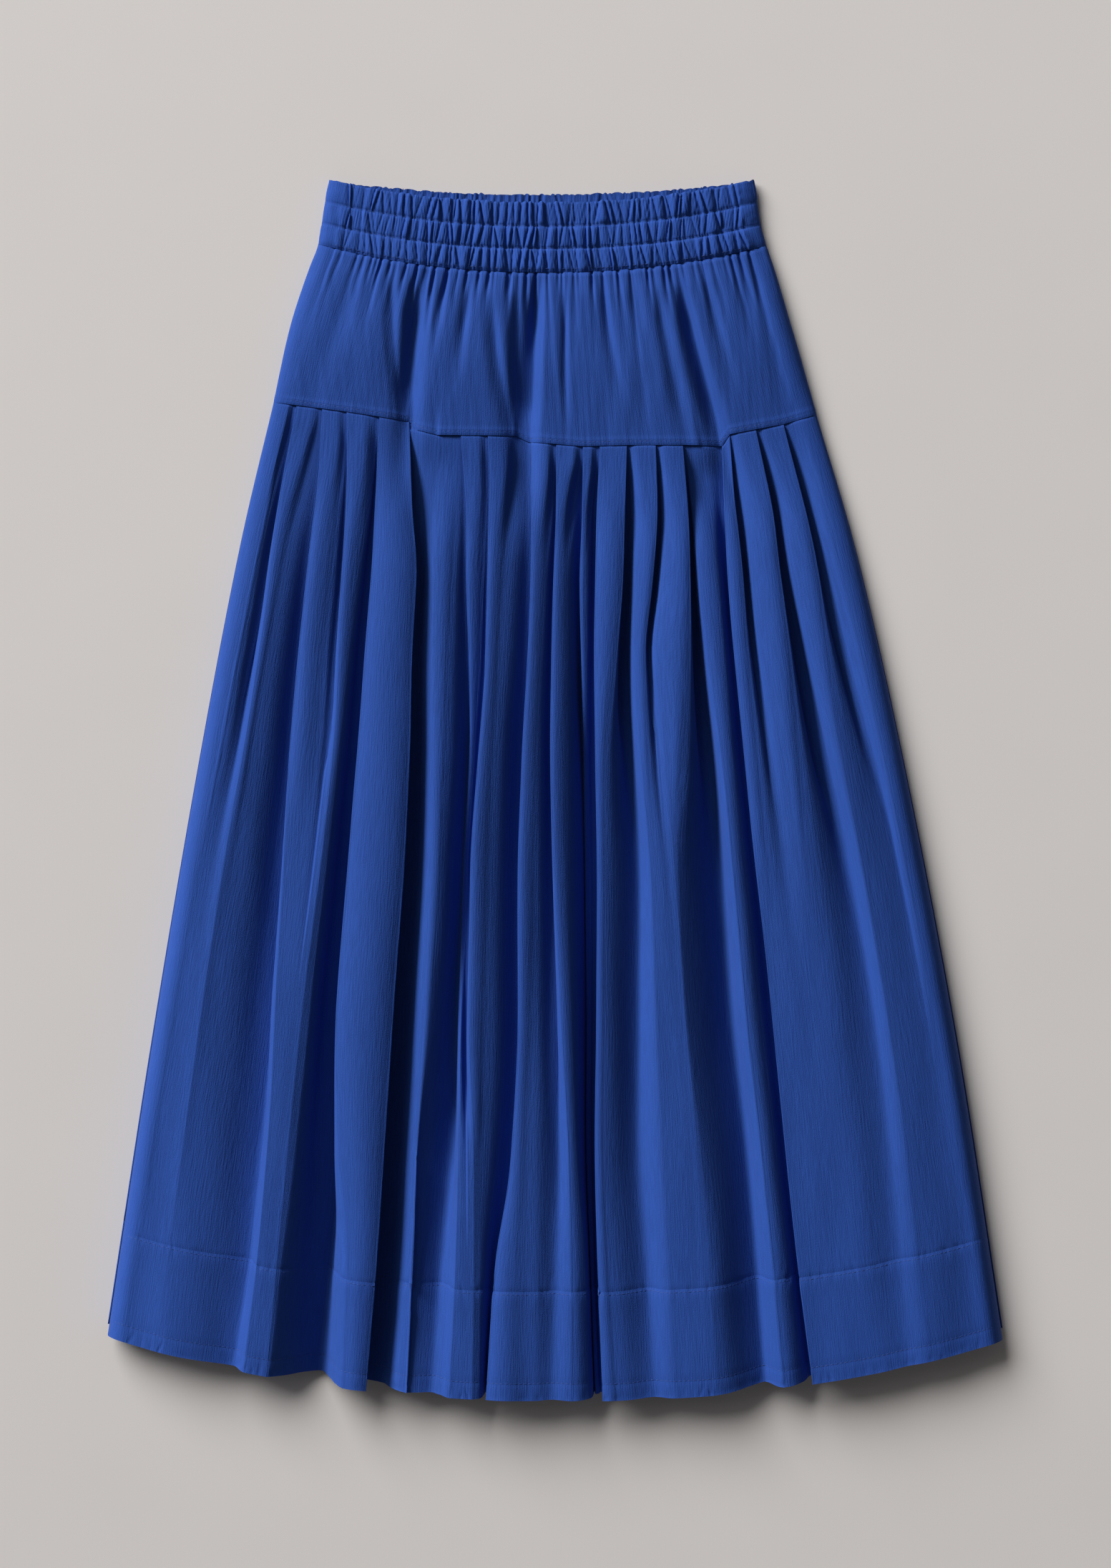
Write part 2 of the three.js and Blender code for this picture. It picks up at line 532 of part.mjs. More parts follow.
// A closed wall of cloth from the sections of its outer face. outward is 1 where that face looks up and
// -1 where it looks down.
function clothWall(sections, wall, outward) {
  const pointOf = outward > 0 ? frontPoint : backPoint;
  const place = (section) => section.knots.map((knot) => pointOf(section, knot));
  const outerRows = sections.map(place);
  const innerRows = sections.map((section) => place(movedIn(section, wall, outward)));
  const rows = outerRows.length;
  const count = outerRows[0].length;
  const corners = [...outerRows, ...innerRows].flat();
  const outer = (r, k) => r * count + k;
  const inner = (r, k) => (rows + r) * count + k;
  const faces = [];
  const quad = (a, b, c, e) => {
    const turned = outward > 0 ? [a, e, c, b] : [a, b, c, e];
    faces.push(turned[0], turned[1], turned[2], turned[0], turned[2], turned[3]);
  };
  for (let r = 0; r < rows - 1; r += 1) {
    for (let k = 0; k < count - 1; k += 1) {
      quad(outer(r, k), outer(r, k + 1), outer(r + 1, k + 1), outer(r + 1, k));
      quad(inner(r, k), inner(r + 1, k), inner(r + 1, k + 1), inner(r, k + 1));
    }
    quad(outer(r, 0), outer(r + 1, 0), inner(r + 1, 0), inner(r, 0));
    quad(outer(r, count - 1), inner(r, count - 1), inner(r + 1, count - 1), outer(r + 1, count - 1));
  }
  for (let k = 0; k < count - 1; k += 1) {
    quad(outer(0, k), inner(0, k), inner(0, k + 1), outer(0, k + 1));
    quad(outer(rows - 1, k), outer(rows - 1, k + 1), inner(rows - 1, k + 1), inner(rows - 1, k));
  }
  const geometry = new THREE.BufferGeometry();
  const positions = corners.flatMap((corner) => corner.toArray());
  geometry.setAttribute("position", new THREE.Float32BufferAttribute(positions, 3));
  geometry.setIndex(faces);
  geometry.computeVertexNormals();
  return geometry;
}

// The distances down the cloth at which a panel has rows, kept half a seam's gap inside its own edges.
function stations(from, to, inner) {
  return [from + SEAM_GAP / 2, ...inner, to - SEAM_GAP / 2];
}

const channelLines = [down.waist_top, down.stitch_1, down.stitch_2, down.waist_seam];
const channelStations = channelLines.slice(1).flatMap((line, i) => [(channelLines[i] + line) / 2, line]);
const waistbandStations = stations(down.waist_top, down.waist_seam, channelStations.slice(0, -1));
const backWaistbandStations = stations(down.waist_top, down.waist_seam, [down.stitch_1, down.stitch_2]);
const yokeRows = [down.yoke_upper, down.yoke_middle, YOKE_LOWER_ROW];
const yokeStations = stations(down.waist_seam, down.yoke_seam, yokeRows);
const backYokeStations = stations(down.waist_seam, down.yoke_seam, [down.yoke_middle]);
const openingRows = [PLEAT_TOP_ROW, down.upper, PLEAT_OPEN_ROW];
const skirtStations = stations(down.yoke_seam, hemBandTop, [...openingRows, down.middle, down.lower]);
const backSkirtStations = stations(down.yoke_seam, hemBandTop, [down.upper, down.middle]);
const hemBandStations = stations(hemBandTop, down.hem, []);

const skirt = new THREE.Group();
function addPanel(name, stationList, sectionAt, wall, outward) {
  const material = new THREE.MeshStandardMaterial({ color: CLOTH_BLUE, roughness: 0.85, metalness: 0 });
  const panel = new THREE.Mesh(clothWall(stationList.map(sectionAt), wall, outward), material);
  panel.name = name;
  skirt.add(panel);
}

addPanel("waistband_front", waistbandStations, frontWaistband, WAISTBAND_WALL, 1);
addPanel("waistband_back", backWaistbandStations, (d) => gatheredBack(d, 1), WAISTBAND_WALL, -1);
addPanel("yoke_front", yokeStations, frontYoke, WALL, 1);
addPanel("yoke_back", backYokeStations, (d) => gatheredBack(d, yokeFade(d)), WALL, -1);
addPanel("skirt_front", skirtStations, frontSection, WALL, 1);
addPanel("skirt_back", backSkirtStations, backSection, WALL, -1);
addPanel("hem_band_front", hemBandStations, frontSection, WALL, 1);
addPanel("hem_band_back", hemBandStations, backSection, WALL, -1);

export default skirt;
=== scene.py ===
# A pleated skirt laid flat: its cloth, folds, gathers, seams and stitches, over the solids' frame.
# Tables and sizes are in millimetres; meshes are made in metres.
import json
import math

import bpy
import numpy as np
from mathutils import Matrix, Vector

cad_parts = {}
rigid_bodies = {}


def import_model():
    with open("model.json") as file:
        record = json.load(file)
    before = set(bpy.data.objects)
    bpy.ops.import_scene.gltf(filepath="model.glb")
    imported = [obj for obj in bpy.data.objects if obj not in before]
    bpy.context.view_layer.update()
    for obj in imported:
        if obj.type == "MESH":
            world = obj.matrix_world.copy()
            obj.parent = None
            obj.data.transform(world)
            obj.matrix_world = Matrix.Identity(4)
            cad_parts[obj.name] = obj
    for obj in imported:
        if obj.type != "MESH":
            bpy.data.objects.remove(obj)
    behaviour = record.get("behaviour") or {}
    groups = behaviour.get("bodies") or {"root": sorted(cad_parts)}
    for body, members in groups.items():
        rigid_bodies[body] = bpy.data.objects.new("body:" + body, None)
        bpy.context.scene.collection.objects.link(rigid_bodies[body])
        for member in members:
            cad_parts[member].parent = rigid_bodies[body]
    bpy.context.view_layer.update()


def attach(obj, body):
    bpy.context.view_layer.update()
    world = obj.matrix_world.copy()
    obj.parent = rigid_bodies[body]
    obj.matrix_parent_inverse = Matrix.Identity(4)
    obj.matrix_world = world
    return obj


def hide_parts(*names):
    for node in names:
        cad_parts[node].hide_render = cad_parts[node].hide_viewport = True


MM = 0.001
scene = bpy.context.scene
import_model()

# Cloth
CLOTH = 0.7
SEAM_GAP = 0.3
HALF_GAP = SEAM_GAP / 2
LAYER_GAP = 0.35
CAD_WALL = 1.0
PLEAT_STACK = 2 * CAD_WALL + 2 * LAYER_GAP
HEM_BAND_DEPTH = 80
CROWN_SHAPE = 2.2
HEM_DROOP = 0.3
BACK_WAIST_RISE = 7
BACK_HEM_RISE = 8

# Rows down the front: y at the left edge, the middle and the right edge, the x that it runs from and to,
# and the heights of the crests and of the side seams.
ROW_KEYS = ("left", "middle", "right", "start", "end", "crest", "side")
ROWS = dict(
    waist_top=(450, 433, 450, -167, 147, 14, 7),
    stitch_1=(434, 415.5, 433.5, -170, 149.5, 14, 7),
    stitch_2=(418, 399, 417, -172.5, 152, 14, 7),
    waist_seam=(403, 382, 402, -175, 156, 14, 7),
    yoke_upper=(385, 362, 383, -181.5, 162, 15.5, 7),
    yoke_middle=(344, 317.5, 340, -194.5, 174.5, 16, 7),
    yoke_seam=(286, 254.5, 277, -208, 193, 14, 7),
    upper=(182.5, 150.5, 174.5, -232, 222.5, 19, 8),
    middle=(10, -25, 3.5, -264.5, 260.5, 26, 9),
    lower=(-196.5, -236, -201.5, -299, 299, 31, 10),
    hem=(-403.5, -450, -406.5, -330.5, 330.5, 35, 11),
)

# The yoke seam's line: how much of the row's sag it has at shares of the width.
SEAM_LINE = [
    (0, 0), (0.135, 0.22), (0.25, 0.44), (0.264, 0.67), (0.303, 0.8), (0.447, 0.77), (0.47, 0.93),
    (0.57, 1.02), (0.651, 0.96), (0.754, 0.92), (0.826, 0.92), (0.84, 0.6), (0.939, 0.29), (1, 0),
]
SEAM_LINE_REACH = 100

# Side seams
SHOULDER = 12
SHOULDER_RISE = 0.7
CROWN_REACH = 50
SIDE_STEPS = [0, 0.5, 1.6, 3.4, 6, 9, SHOULDER]

# The shares of the length at which a fold's edges and depths are given.
FOLD_STATIONS = [0, 0.075, 0.15, 0.225, 0.337, 0.449, 0.6, 0.75, 0.861, 1]
NONE = [0] * len(FOLD_STATIONS)


def pleat(edge, floor, left, right, depth, drop=NONE, soft=NONE):
    return dict(edge=edge, floor=floor, left=left, right=right, depth=depth, drop=drop, soft=soft)


# The front's folds from left to right: the side its crisp edge faces, where it is deepest between its
# edges, both edges as shares of the width, its depth, how far the face on its right lies below the
# crests, and how far it has softened into a round wave with no crisp edge, each at the stations above.
FOLDS = [
    pleat("left", 0.8, left=[0.043, 0.034, 0.034, 0.036, 0.036, 0.03, 0.028, 0.028, 0.028, 0.028],
          right=[0.043, 0.045, 0.047, 0.05, 0.05, 0.045, 0.042, 0.04, 0.04, 0.04],
          depth=[2.7, 4, 6, 6, 4, 1.5, 0, 0, 0, 0], drop=[0, 1, 1, 1, 0.5, 0, 0, 0, 0, 0],
          soft=[0, 0, 0.3, 0.7, 1, 1, 1, 1, 1, 1]),
    pleat("left", 0.88, left=[0.09, 0.08, 0.072, 0.07, 0.068, 0.068, 0.068, 0.072, 0.075, 0.08],
          right=[0.09, 0.105, 0.11, 0.115, 0.122, 0.13, 0.138, 0.147, 0.148, 0.142],
          depth=[2.7, 7, 12, 16, 19, 20, 20, 18, 14, 9], drop=[0, 0, 0, 1, 2, 2, 0, 0, 0, 0],
          soft=[0, 0, 0, 0, 0, 0.1, 0.35, 0.7, 0.9, 1]),
    pleat("left", 0.8, left=[0.135, 0.144, 0.15, 0.156, 0.166, 0.168, 0.166, 0.165, 0.165, 0.165],
          right=[0.135, 0.155, 0.165, 0.17, 0.177, 0.176, 0.172, 0.171, 0.171, 0.171],
          depth=[2.7, 5, 6, 6, 3, 0.8, 0, 0, 0, 0], soft=[0, 0, 0, 0.3, 0.8, 1, 1, 1, 1, 1]),
    pleat("left", 0.45, left=[0.195, 0.198, 0.195, 0.194, 0.195, 0.193, 0.19, 0.19, 0.189, 0.188],
          right=[0.195, 0.205, 0.2125, 0.2155, 0.219, 0.22, 0.222, 0.232, 0.24, 0.24],
          depth=[2.7, 7, 10, 13, 17, 20, 23, 26, 28, 28], soft=[0, 0, 0, 0, 0, 0, 0, 0.2, 0.6, 0.9]),
    pleat("right", 0.4, left=[0.25, 0.268, 0.286, 0.288, 0.295, 0.297, 0.295, 0.294, 0.293, 0.29],
          right=[0.303, 0.305, 0.309, 0.315, 0.327, 0.333, 0.335, 0.333, 0.335, 0.335],
          depth=[2.7, 9, 13, 16, 19, 21, 23, 25, 25, 22], drop=[0, 2, 3, 4, 4, 4, 5, 7, 6, 4]),
    pleat("left", 0.8, left=[0.345, 0.343, 0.342, 0.342, 0.344, 0.344, 0.341, 0.334, 0.332, 0.335],
          right=[0.345, 0.36, 0.366, 0.374, 0.3805, 0.377, 0.376, 0.378, 0.376, 0.37],
          depth=[2.7, 8, 12, 16, 20, 21, 21, 18, 12, 6], drop=[0, 3, 5, 9, 16, 19, 16, 3, 0, 0],
          soft=[0, 0, 0, 0, 0, 0, 0.3, 0.9, 1, 1]),
    pleat("left", 0.7, left=[0.395, 0.394, 0.392, 0.391, 0.3865, 0.3815, 0.381, 0.388, 0.392, 0.394],
          right=[0.395, 0.4, 0.4, 0.4, 0.3925, 0.387, 0.387, 0.394, 0.398, 0.4],
          depth=[2.7, 6, 9, 13, 19, 21, 14, 0.5, 0, 0], soft=[0, 0, 0, 0, 0, 0, 0.3, 1, 1, 1]),
    pleat("left", 0.85, left=[0.447, 0.435, 0.425, 0.42, 0.4135, 0.411, 0.41, 0.41, 0.413, 0.416],
          right=[0.475, 0.473, 0.47, 0.465, 0.456, 0.452, 0.453, 0.446, 0.43, 0.423],
          depth=[2.7, 8, 12, 14, 17, 18, 18, 17, 17, 16]),
    pleat("left", 0.85, left=[0.521, 0.505, 0.493, 0.485, 0.477, 0.475, 0.476, 0.478, 0.478, 0.478],
          right=[0.521, 0.515, 0.507, 0.502, 0.498, 0.499, 0.502, 0.504, 0.5, 0.496],
          depth=[2.7, 7, 9, 11, 13, 13, 11, 8, 5, 3], soft=[0, 0, 0, 0, 0, 0.1, 0.5, 1, 1, 1]),
    pleat("left", 0.85, left=[0.57, 0.54, 0.528, 0.524, 0.52, 0.519, 0.523, 0.528, 0.5365, 0.5405],
          right=[0.57, 0.56, 0.55, 0.548, 0.5465, 0.544, 0.541, 0.5375, 0.5405, 0.5443],
          depth=[2.7, 10, 14, 17, 20, 23, 25, 25, 23, 18], drop=[0, 1, 3, 7, 15, 20, 22, 22, 18, 13]),
    pleat("left", 0.5, left=[0.601, 0.574, 0.564, 0.5585, 0.5515, 0.549, 0.5455, 0.542, 0.5448, 0.5486],
          right=[0.601, 0.585, 0.575, 0.568, 0.563, 0.56, 0.553, 0.548, 0.549, 0.5526],
          depth=[2.7, 8, 11, 15, 20, 23, 25, 25, 22, 17]),
    pleat("right", 0.6, left=[0.651, 0.634, 0.62, 0.604, 0.586, 0.58, 0.573, 0.567, 0.572, 0.582],
          right=[0.651, 0.65, 0.638, 0.627, 0.618, 0.616, 0.607, 0.6, 0.605, 0.61],
          depth=[2.7, 9, 13, 15, 16, 14, 13, 11, 9, 5], drop=[0, 0, 1, 2, 1, 0, 0, 0, 0, 0],
          soft=[0, 0, 0, 0.15, 0.8, 1, 1, 1, 1, 1]),
    pleat("right", 0.5, left=[0.704, 0.69, 0.668, 0.648, 0.645, 0.648, 0.65, 0.655, 0.655, 0.655],
          right=[0.704, 0.7, 0.681, 0.659, 0.654, 0.656, 0.658, 0.662, 0.662, 0.662],
          depth=[2.7, 7, 10, 8, 2.5, 0.5, 0, 0, 0, 0], soft=[0, 0, 0, 0.2, 1, 1, 1, 1, 1, 1]),
    pleat("right", 0.6, left=[0.754, 0.743, 0.73, 0.718, 0.7, 0.68, 0.676, 0.685, 0.69, 0.692],
          right=[0.754, 0.75, 0.742, 0.738, 0.735, 0.727, 0.724, 0.73, 0.732, 0.733],
          depth=[2.7, 9, 13, 17, 21, 23, 22, 20, 18, 16], drop=[0, 0, 0, 1, 1, 1, 1, 1, 1, 1],
          soft=[0, 0, 0, 0.2, 0.7, 1, 1, 1, 1, 1]),
    pleat("left", 0.75, left=[0.785, 0.778, 0.776, 0.77, 0.764, 0.762, 0.762, 0.765, 0.77, 0.774],
          right=[0.826, 0.805, 0.79, 0.783, 0.778, 0.776, 0.776, 0.777, 0.78, 0.786],
          depth=[2.7, 12, 15, 15, 15, 15, 15, 15, 16, 18]),
    pleat("right", 0.5, left=[0.84, 0.825, 0.815, 0.807, 0.803, 0.8, 0.8, 0.8, 0.8, 0.8],
          right=[0.84, 0.838, 0.828, 0.82, 0.816, 0.814, 0.814, 0.814, 0.814, 0.814],
          depth=[2.7, 7, 9, 7, 4, 1.5, 0, 0, 0, 0], soft=[0, 0, 0, 0.3, 0.8, 1, 1, 1, 1, 1]),
    pleat("right", 0.6, left=[0.888, 0.885, 0.875, 0.87, 0.865, 0.862, 0.862, 0.862, 0.863, 0.866],
          right=[0.888, 0.897, 0.892, 0.895, 0.9, 0.902, 0.902, 0.898, 0.895, 0.892],
          depth=[2.7, 8, 11, 13, 13, 12, 9, 6, 4, 2], soft=[0, 0, 0, 0.1, 0.5, 0.9, 1, 1, 1, 1]),
    pleat("right", 0.5, left=[0.939, 0.938, 0.935, 0.93, 0.928, 0.932, 0.936, 0.94, 0.94, 0.94],
          right=[0.939, 0.952, 0.958, 0.96, 0.962, 0.964, 0.966, 0.966, 0.966, 0.966],
          depth=[2.7, 6, 7, 7, 5.5, 3.5, 1, 0, 0, 0], drop=[0, 1, 1, 1, 1, 0.5, 0, 0, 0, 0],
          soft=[0, 0, 0, 0.3, 0.8, 1, 1, 1, 1, 1]),
]
PLEAT_TUCK = (13, 3)
UNDERLAY_TRIM = 5
OPENED_AT = 0.13
LEAST_MOUTH = 2.2
FACE_CROWN = 0.11
FACE_CROWN_MOST = 5
FACE_DROOP = (0.32, 0.2, 7.5)  # a face droops towards its shoulder: share of the depth, of its width, most
FACE_RAMP = 3
CRISP = 0.7  # how near a folded edge's neighbouring points lie, so that it stays crisp
# A round valley: how far across each knot lies, in widths of its dark side, from its left or right edge,
# and its share of the depth.
SOFT_VALLEY = [
    ("low", -0.4, 0.02), ("low", 0, 0.13), ("low", 0.28, 0.36), ("low", 0.55, 0.65), ("low", 0.8, 0.9),
    ("high", 0, 1), ("high", 0.25, 0.9), ("high", 0.55, 0.62), ("high", 0.9, 0.26), ("high", 1.3, 0.03),
]
# A face's height at shares of its width, from its crisp edge on
FACE_RISES = ((0.1, 0.55), (0.28, 1), (0.52, 0.98), (0.78, 0.62))

# The back's pleats
BACK_PLEATS = 16
BACK_TUCK = (10, 7)
BACK_RAMP = (4, 0.8)
BACK_MARGIN = 2
BACK_DRIFT = 0.006

# Gathers
GATHERS = 60

rng = np.random.default_rng(7)


def mix(a, b, share):
    return a + (b - a) * share


def smooth(low, high, value):
    share = np.clip((value - low) / (high - low), 0, 1)
    return share * share * (3 - 2 * share)


def curve_through(xs, ys):
    """A smooth curve through points with rising x, which doesn't overshoot them."""
    xs = np.asarray(xs, float)
    ys = np.asarray(ys, float)
    step = np.diff(xs)
    slope = np.diff(ys) / step
    tangent = np.empty_like(ys)
    tangent[0] = slope[0]
    tangent[-1] = slope[-1]
    for i in range(1, len(xs) - 1):
        same = slope[i - 1] * slope[i] > 0
        tangent[i] = 2 * slope[i - 1] * slope[i] / (slope[i - 1] + slope[i]) if same else 0

    def value(x):
        x = np.asarray(x, float)
        i = np.clip(np.searchsorted(xs, x, side="right") - 1, 0, len(xs) - 2)
        s = np.clip((x - xs[i]) / step[i], 0, 1)
        rise = s * s * (3 - 2 * s)
        lead = s * (1 - s) * (1 - s) * step[i] * tangent[i]
        trail = s * s * (1 - s) * step[i] * tangent[i + 1]
        return mix(ys[i], ys[i + 1], rise) + lead - trail

    return value


# Distance down the cloth, measured along its middle from the waist's top edge.
MIDDLE = ROW_KEYS.index("middle")
down = {name: ROWS["waist_top"][MIDDLE] - row[MIDDLE] for name, row in ROWS.items()}
waist_seam, yoke_seam, hem = down["waist_seam"], down["yoke_seam"], down["hem"]
hem_band_top = hem - HEM_BAND_DEPTH
row_curves = [curve_through(list(down.values()), column) for column in zip(*ROWS.values())]


def row_at(d):
    row = {key: float(curve(d)) for key, curve in zip(ROW_KEYS, row_curves)}
    row["width"] = row["end"] - row["start"]
    return row


def skirt_share(d):
    return np.clip((d - yoke_seam) / (hem - yoke_seam), 0, 1)


def bow(across):
    return 1 - np.abs(2 * np.clip(across, 0, 1) - 1) ** CROWN_SHAPE


def row_y(row, across, d, front):
    """y of a row at shares of the width; near the yoke seam the front's rows follow the seam's line."""
    own_line = 1 - smooth(0, SEAM_LINE_REACH, abs(d - yoke_seam)) if front else 0
    line = np.interp(across, *zip(*SEAM_LINE))
    sag = mix(bow(across), line, own_line)
    return mix(row["left"], row["right"], across) + (row["middle"] - (row["left"] + row["right"]) / 2) * sag


def crest_z(row, across):
    """Height of the front's crests: the cloth turns over at the sides."""
    width = row["width"]
    inward = np.minimum(across, 1 - across) * width
    turn = np.sqrt(np.maximum(0, 1 - (1 - np.clip(inward / SHOULDER, 0, 1)) ** 2))
    rest = smooth(SHOULDER, SHOULDER + CROWN_REACH, inward)
    rise = SHOULDER_RISE * turn + (1 - SHOULDER_RISE) * rest
    return mix(row["side"] + HALF_GAP, row["crest"], rise)


def front_points(row, d, across, z, trim=0):
    droop = HEM_DROOP * skirt_share(d) ** 2 * np.maximum(0, crest_z(row, across) - z)
    x = mix(row["start"], row["end"], across)
    return np.stack([x, row_y(row, across, d, True) + droop - trim, z], axis=-1)


def back_points(row, d, across, z):
    waist_rise = BACK_WAIST_RISE * bow(across) * (1 - smooth(waist_seam, down["yoke_middle"], d))
    x = mix(row["start"], row["end"], across)
    y = row_y(row, across, d, False) + waist_rise + BACK_HEM_RISE * skirt_share(d)
    return np.stack([x, y, z], axis=-1)


# Front folds
fold_curves = [
    {key: curve_through(FOLD_STATIONS, fold[key]) for key in ("left", "right", "depth", "drop", "soft")}
    for fold in FOLDS
]


def folds_at(share, row):
    """Where the folds lie at a share of the length, in millimetres from the left edge."""
    width = row["width"]
    opened = smooth(0, OPENED_AT, share)
    folds = []
    for fold, curves in zip(FOLDS, fold_curves):
        faces_left = fold["edge"] == "left"
        here = {key: float(curve(share)) for key, curve in curves.items()}
        start, end = here["left"] * width, here["right"] * width
        mouth = max(end - start, LEAST_MOUTH)
        folds.append(dict(
            faces_left=faces_left, floor=fold["floor"], mouth=mouth,
            edge=end if faces_left else start, shoulder=end - mouth if faces_left else start + mouth,
            depth=here["depth"], drop_after=here["drop"], soft=here["soft"],
            low_end=start, high_end=max(end, start + 0.1),
        ))
    for i, fold in enumerate(folds):
        fold["drop_before"] = folds[i - 1]["drop_after"] if i else 0
        fold["room_left"] = fold["low_end"] - (folds[i - 1]["high_end"] if i else SHOULDER)
        next_at = folds[i + 1]["low_end"] if i + 1 < len(folds) else width - SHOULDER
        fold["room_right"] = next_at - fold["high_end"]
        j = i + 1 if fold["faces_left"] else i - 1
        other = folds[j] if 0 <= j < len(folds) else None
        if other is None:
            other_at, both = (width - SHOULDER if fold["faces_left"] else SHOULDER), False
        else:
            both = other["faces_left"] != fold["faces_left"]
            other_at = other["edge"] if both else other["shoulder"]
        room = abs(other_at - fold["edge"]) - 2 * CAD_WALL - 2 * LAYER_GAP
        most = room / 2 if both else room - FACE_RAMP * (1 - opened)
        fold["tuck"] = min(mix(*PLEAT_TUCK, share), most)
    return folds


def valley_knots(fold, share, row):
    """The knots of one valley, from its left face to its right face: across, height, trim."""
    width = row["width"]
    opened = smooth(0, OPENED_AT, share)
    faces_left = fold["faces_left"]
    away = -1 if faces_left else 1
    reach = fold["floor"] if faces_left else 1 - fold["floor"]
    shoulder, edge, mouth = fold["shoulder"], fold["edge"], fold["mouth"]
    floor_at = shoulder - away * mouth * reach
    crest = crest_z(row, edge / width)
    lowest = PLEAT_STACK + CAD_WALL + LAYER_GAP + CLOTH
    before, after = fold["drop_before"], fold["drop_after"]
    shoulder_drop, edge_drop = (before, after) if faces_left else (after, before)
    edge_z = crest - edge_drop
    floor_z = max(min(crest - fold["depth"], edge_z - 0.3), lowest)
    shoulder_crest = crest_z(row, shoulder / width)
    face = fold["room_left"] if faces_left else fold["room_right"]
    droop = min(FACE_DROOP[0] * fold["depth"], FACE_DROOP[1] * max(face, 0), FACE_DROOP[2])
    shoulder_z = mix(floor_z, max(shoulder_crest - shoulder_drop - droop, floor_z), opened)
    covered = fold["tuck"] > 1 and edge_z - floor_z > PLEAT_STACK - 0.01
    inside = edge - away * fold["tuck"] if covered else edge + away * 0.3
    turn_z = edge_z - 2 * CAD_WALL - LAYER_GAP if covered else mix(floor_z, edge_z, 0.5)
    upturn_z = min(floor_z + LAYER_GAP, turn_z) if covered else mix(floor_z, edge_z, 0.2)
    trim = UNDERLAY_TRIM * (1 - opened) if covered else 0
    near = min(CRISP, mouth * 0.2)
    drop_to_floor = shoulder_z - floor_z
    knots = [
        (shoulder, shoulder_z, 0),
        (mix(shoulder, floor_at, 0.42), floor_z + drop_to_floor * 0.83, 0),
        (mix(shoulder, floor_at, 0.76), floor_z + drop_to_floor * 0.48, 0),
        (floor_at, floor_z + drop_to_floor * 0.14, 0),
        (inside, floor_z, trim),
        (inside, upturn_z, trim),
        (edge, turn_z, 0),
        (edge, mix(turn_z, edge_z, 0.6), 0),
        (edge, edge_z, 0),
        (edge - away * near, edge_z, 0),
    ]
    knots = knots if faces_left else knots[::-1]
    if fold["soft"] > 0:
        knots = [
            tuple(mix(a, b, fold["soft"]) for a, b in zip(crisp, round_))
            for crisp, round_ in zip(knots, soft_knots(fold, row, lowest))
        ]
    return knots


def soft_knots(fold, row, lowest):
    width = row["width"]
    low, high = fold["low_end"], fold["high_end"]
    mouth = max(high - low, LEAST_MOUTH)
    out_left = min(mouth * 0.4, fold["room_left"] * 0.4) / 0.4
    out_right = min(mouth * 1.3, fold["room_right"] * 0.5) / 1.3
    knots = []
    for side, off, depth in SOFT_VALLEY:
        if side == "low":
            at = low + off * (out_left if off < 0 else mouth)
            drop = fold["drop_before"]
        else:
            at = high + off * out_right
            drop = fold["drop_after"]
        top = crest_z(row, at / width) - drop
        knots.append((at, max(top - depth * fold["depth"], lowest), 0))
    return knots


def face_leans(fold_before, fold_after):
    """Whether the crisp edge on a face's left belongs to it, and the one on its right."""
    leans_left = fold_before is not None and fold_before["faces_left"]
    return leans_left, fold_after is not None and not fold_after["faces_left"]


def face_rises(fold_before, fold_after):
    """A face is highest near its crisp edge."""
    leans_left, leans_right = face_leans(fold_before, fold_after)
    soft_left = fold_before["soft"] if fold_before else 1
    soft_right = fold_after["soft"] if fold_after else 1
    if leans_right and not leans_left:
        rises = [(1 - s, rise) for s, rise in FACE_RISES[::-1]]
    elif leans_left and not leans_right:
        rises = FACE_RISES
    else:
        rises = ((0.12, 0.5), (0.36, 1), (0.64, 1), (0.88, 0.5))
    eased = []
    for s, rise in rises:
        softness = soft_left if s < 0.5 else soft_right
        near = min(s, 1 - s)
        eased.append((s, mix(rise, rise * smooth(-0.05, 0.45, near), softness)))
    return eased


def face_knots(before, after, fold_before, fold_after, opened):
    """The knots of a face: round where the pleats have opened, flat with a ramp where they are folded."""
    span = after[0] - before[0]
    there = [smooth(0.3, 3, fold["depth"]) if fold else 1 for fold in (fold_before, fold_after)]
    crown = min(FACE_CROWN * max(span, 0), FACE_CROWN_MOST) * there[0] * there[1]
    open_knots = [
        (mix(before[0], after[0], s), mix(before[1], after[1], s) + crown * rise)
        for s, rise in face_rises(fold_before, fold_after)
    ]
    reach = CAD_WALL + LAYER_GAP
    leans_left, leans_right = face_leans(fold_before, fold_after)
    if leans_left:
        end = before[0] + max(fold_before["tuck"], 1) + reach
        folded = [(mix(before[0], end, s), before[1]) for s in (0.3, 0.65, 1)]
        folded.append((mix(end, after[0], 0.5), mix(before[1], after[1], 0.5)))
    elif leans_right:
        start = after[0] - max(fold_after["tuck"], 1) - reach
        folded = [(mix(before[0], start, 0.5), mix(before[1], after[1], 0.5))]
        folded += [(mix(start, after[0], s), after[1]) for s in (0, 0.35, 0.7)]
    else:
        shares = (0.15, 0.38, 0.62, 0.85)
        folded = [(mix(before[0], after[0], s), mix(before[1], after[1], s)) for s in shares]
    return [
        (mix(f[0], o[0], opened), mix(f[1], o[1], opened), 0)
        for f, o in zip(folded, open_knots)
    ]


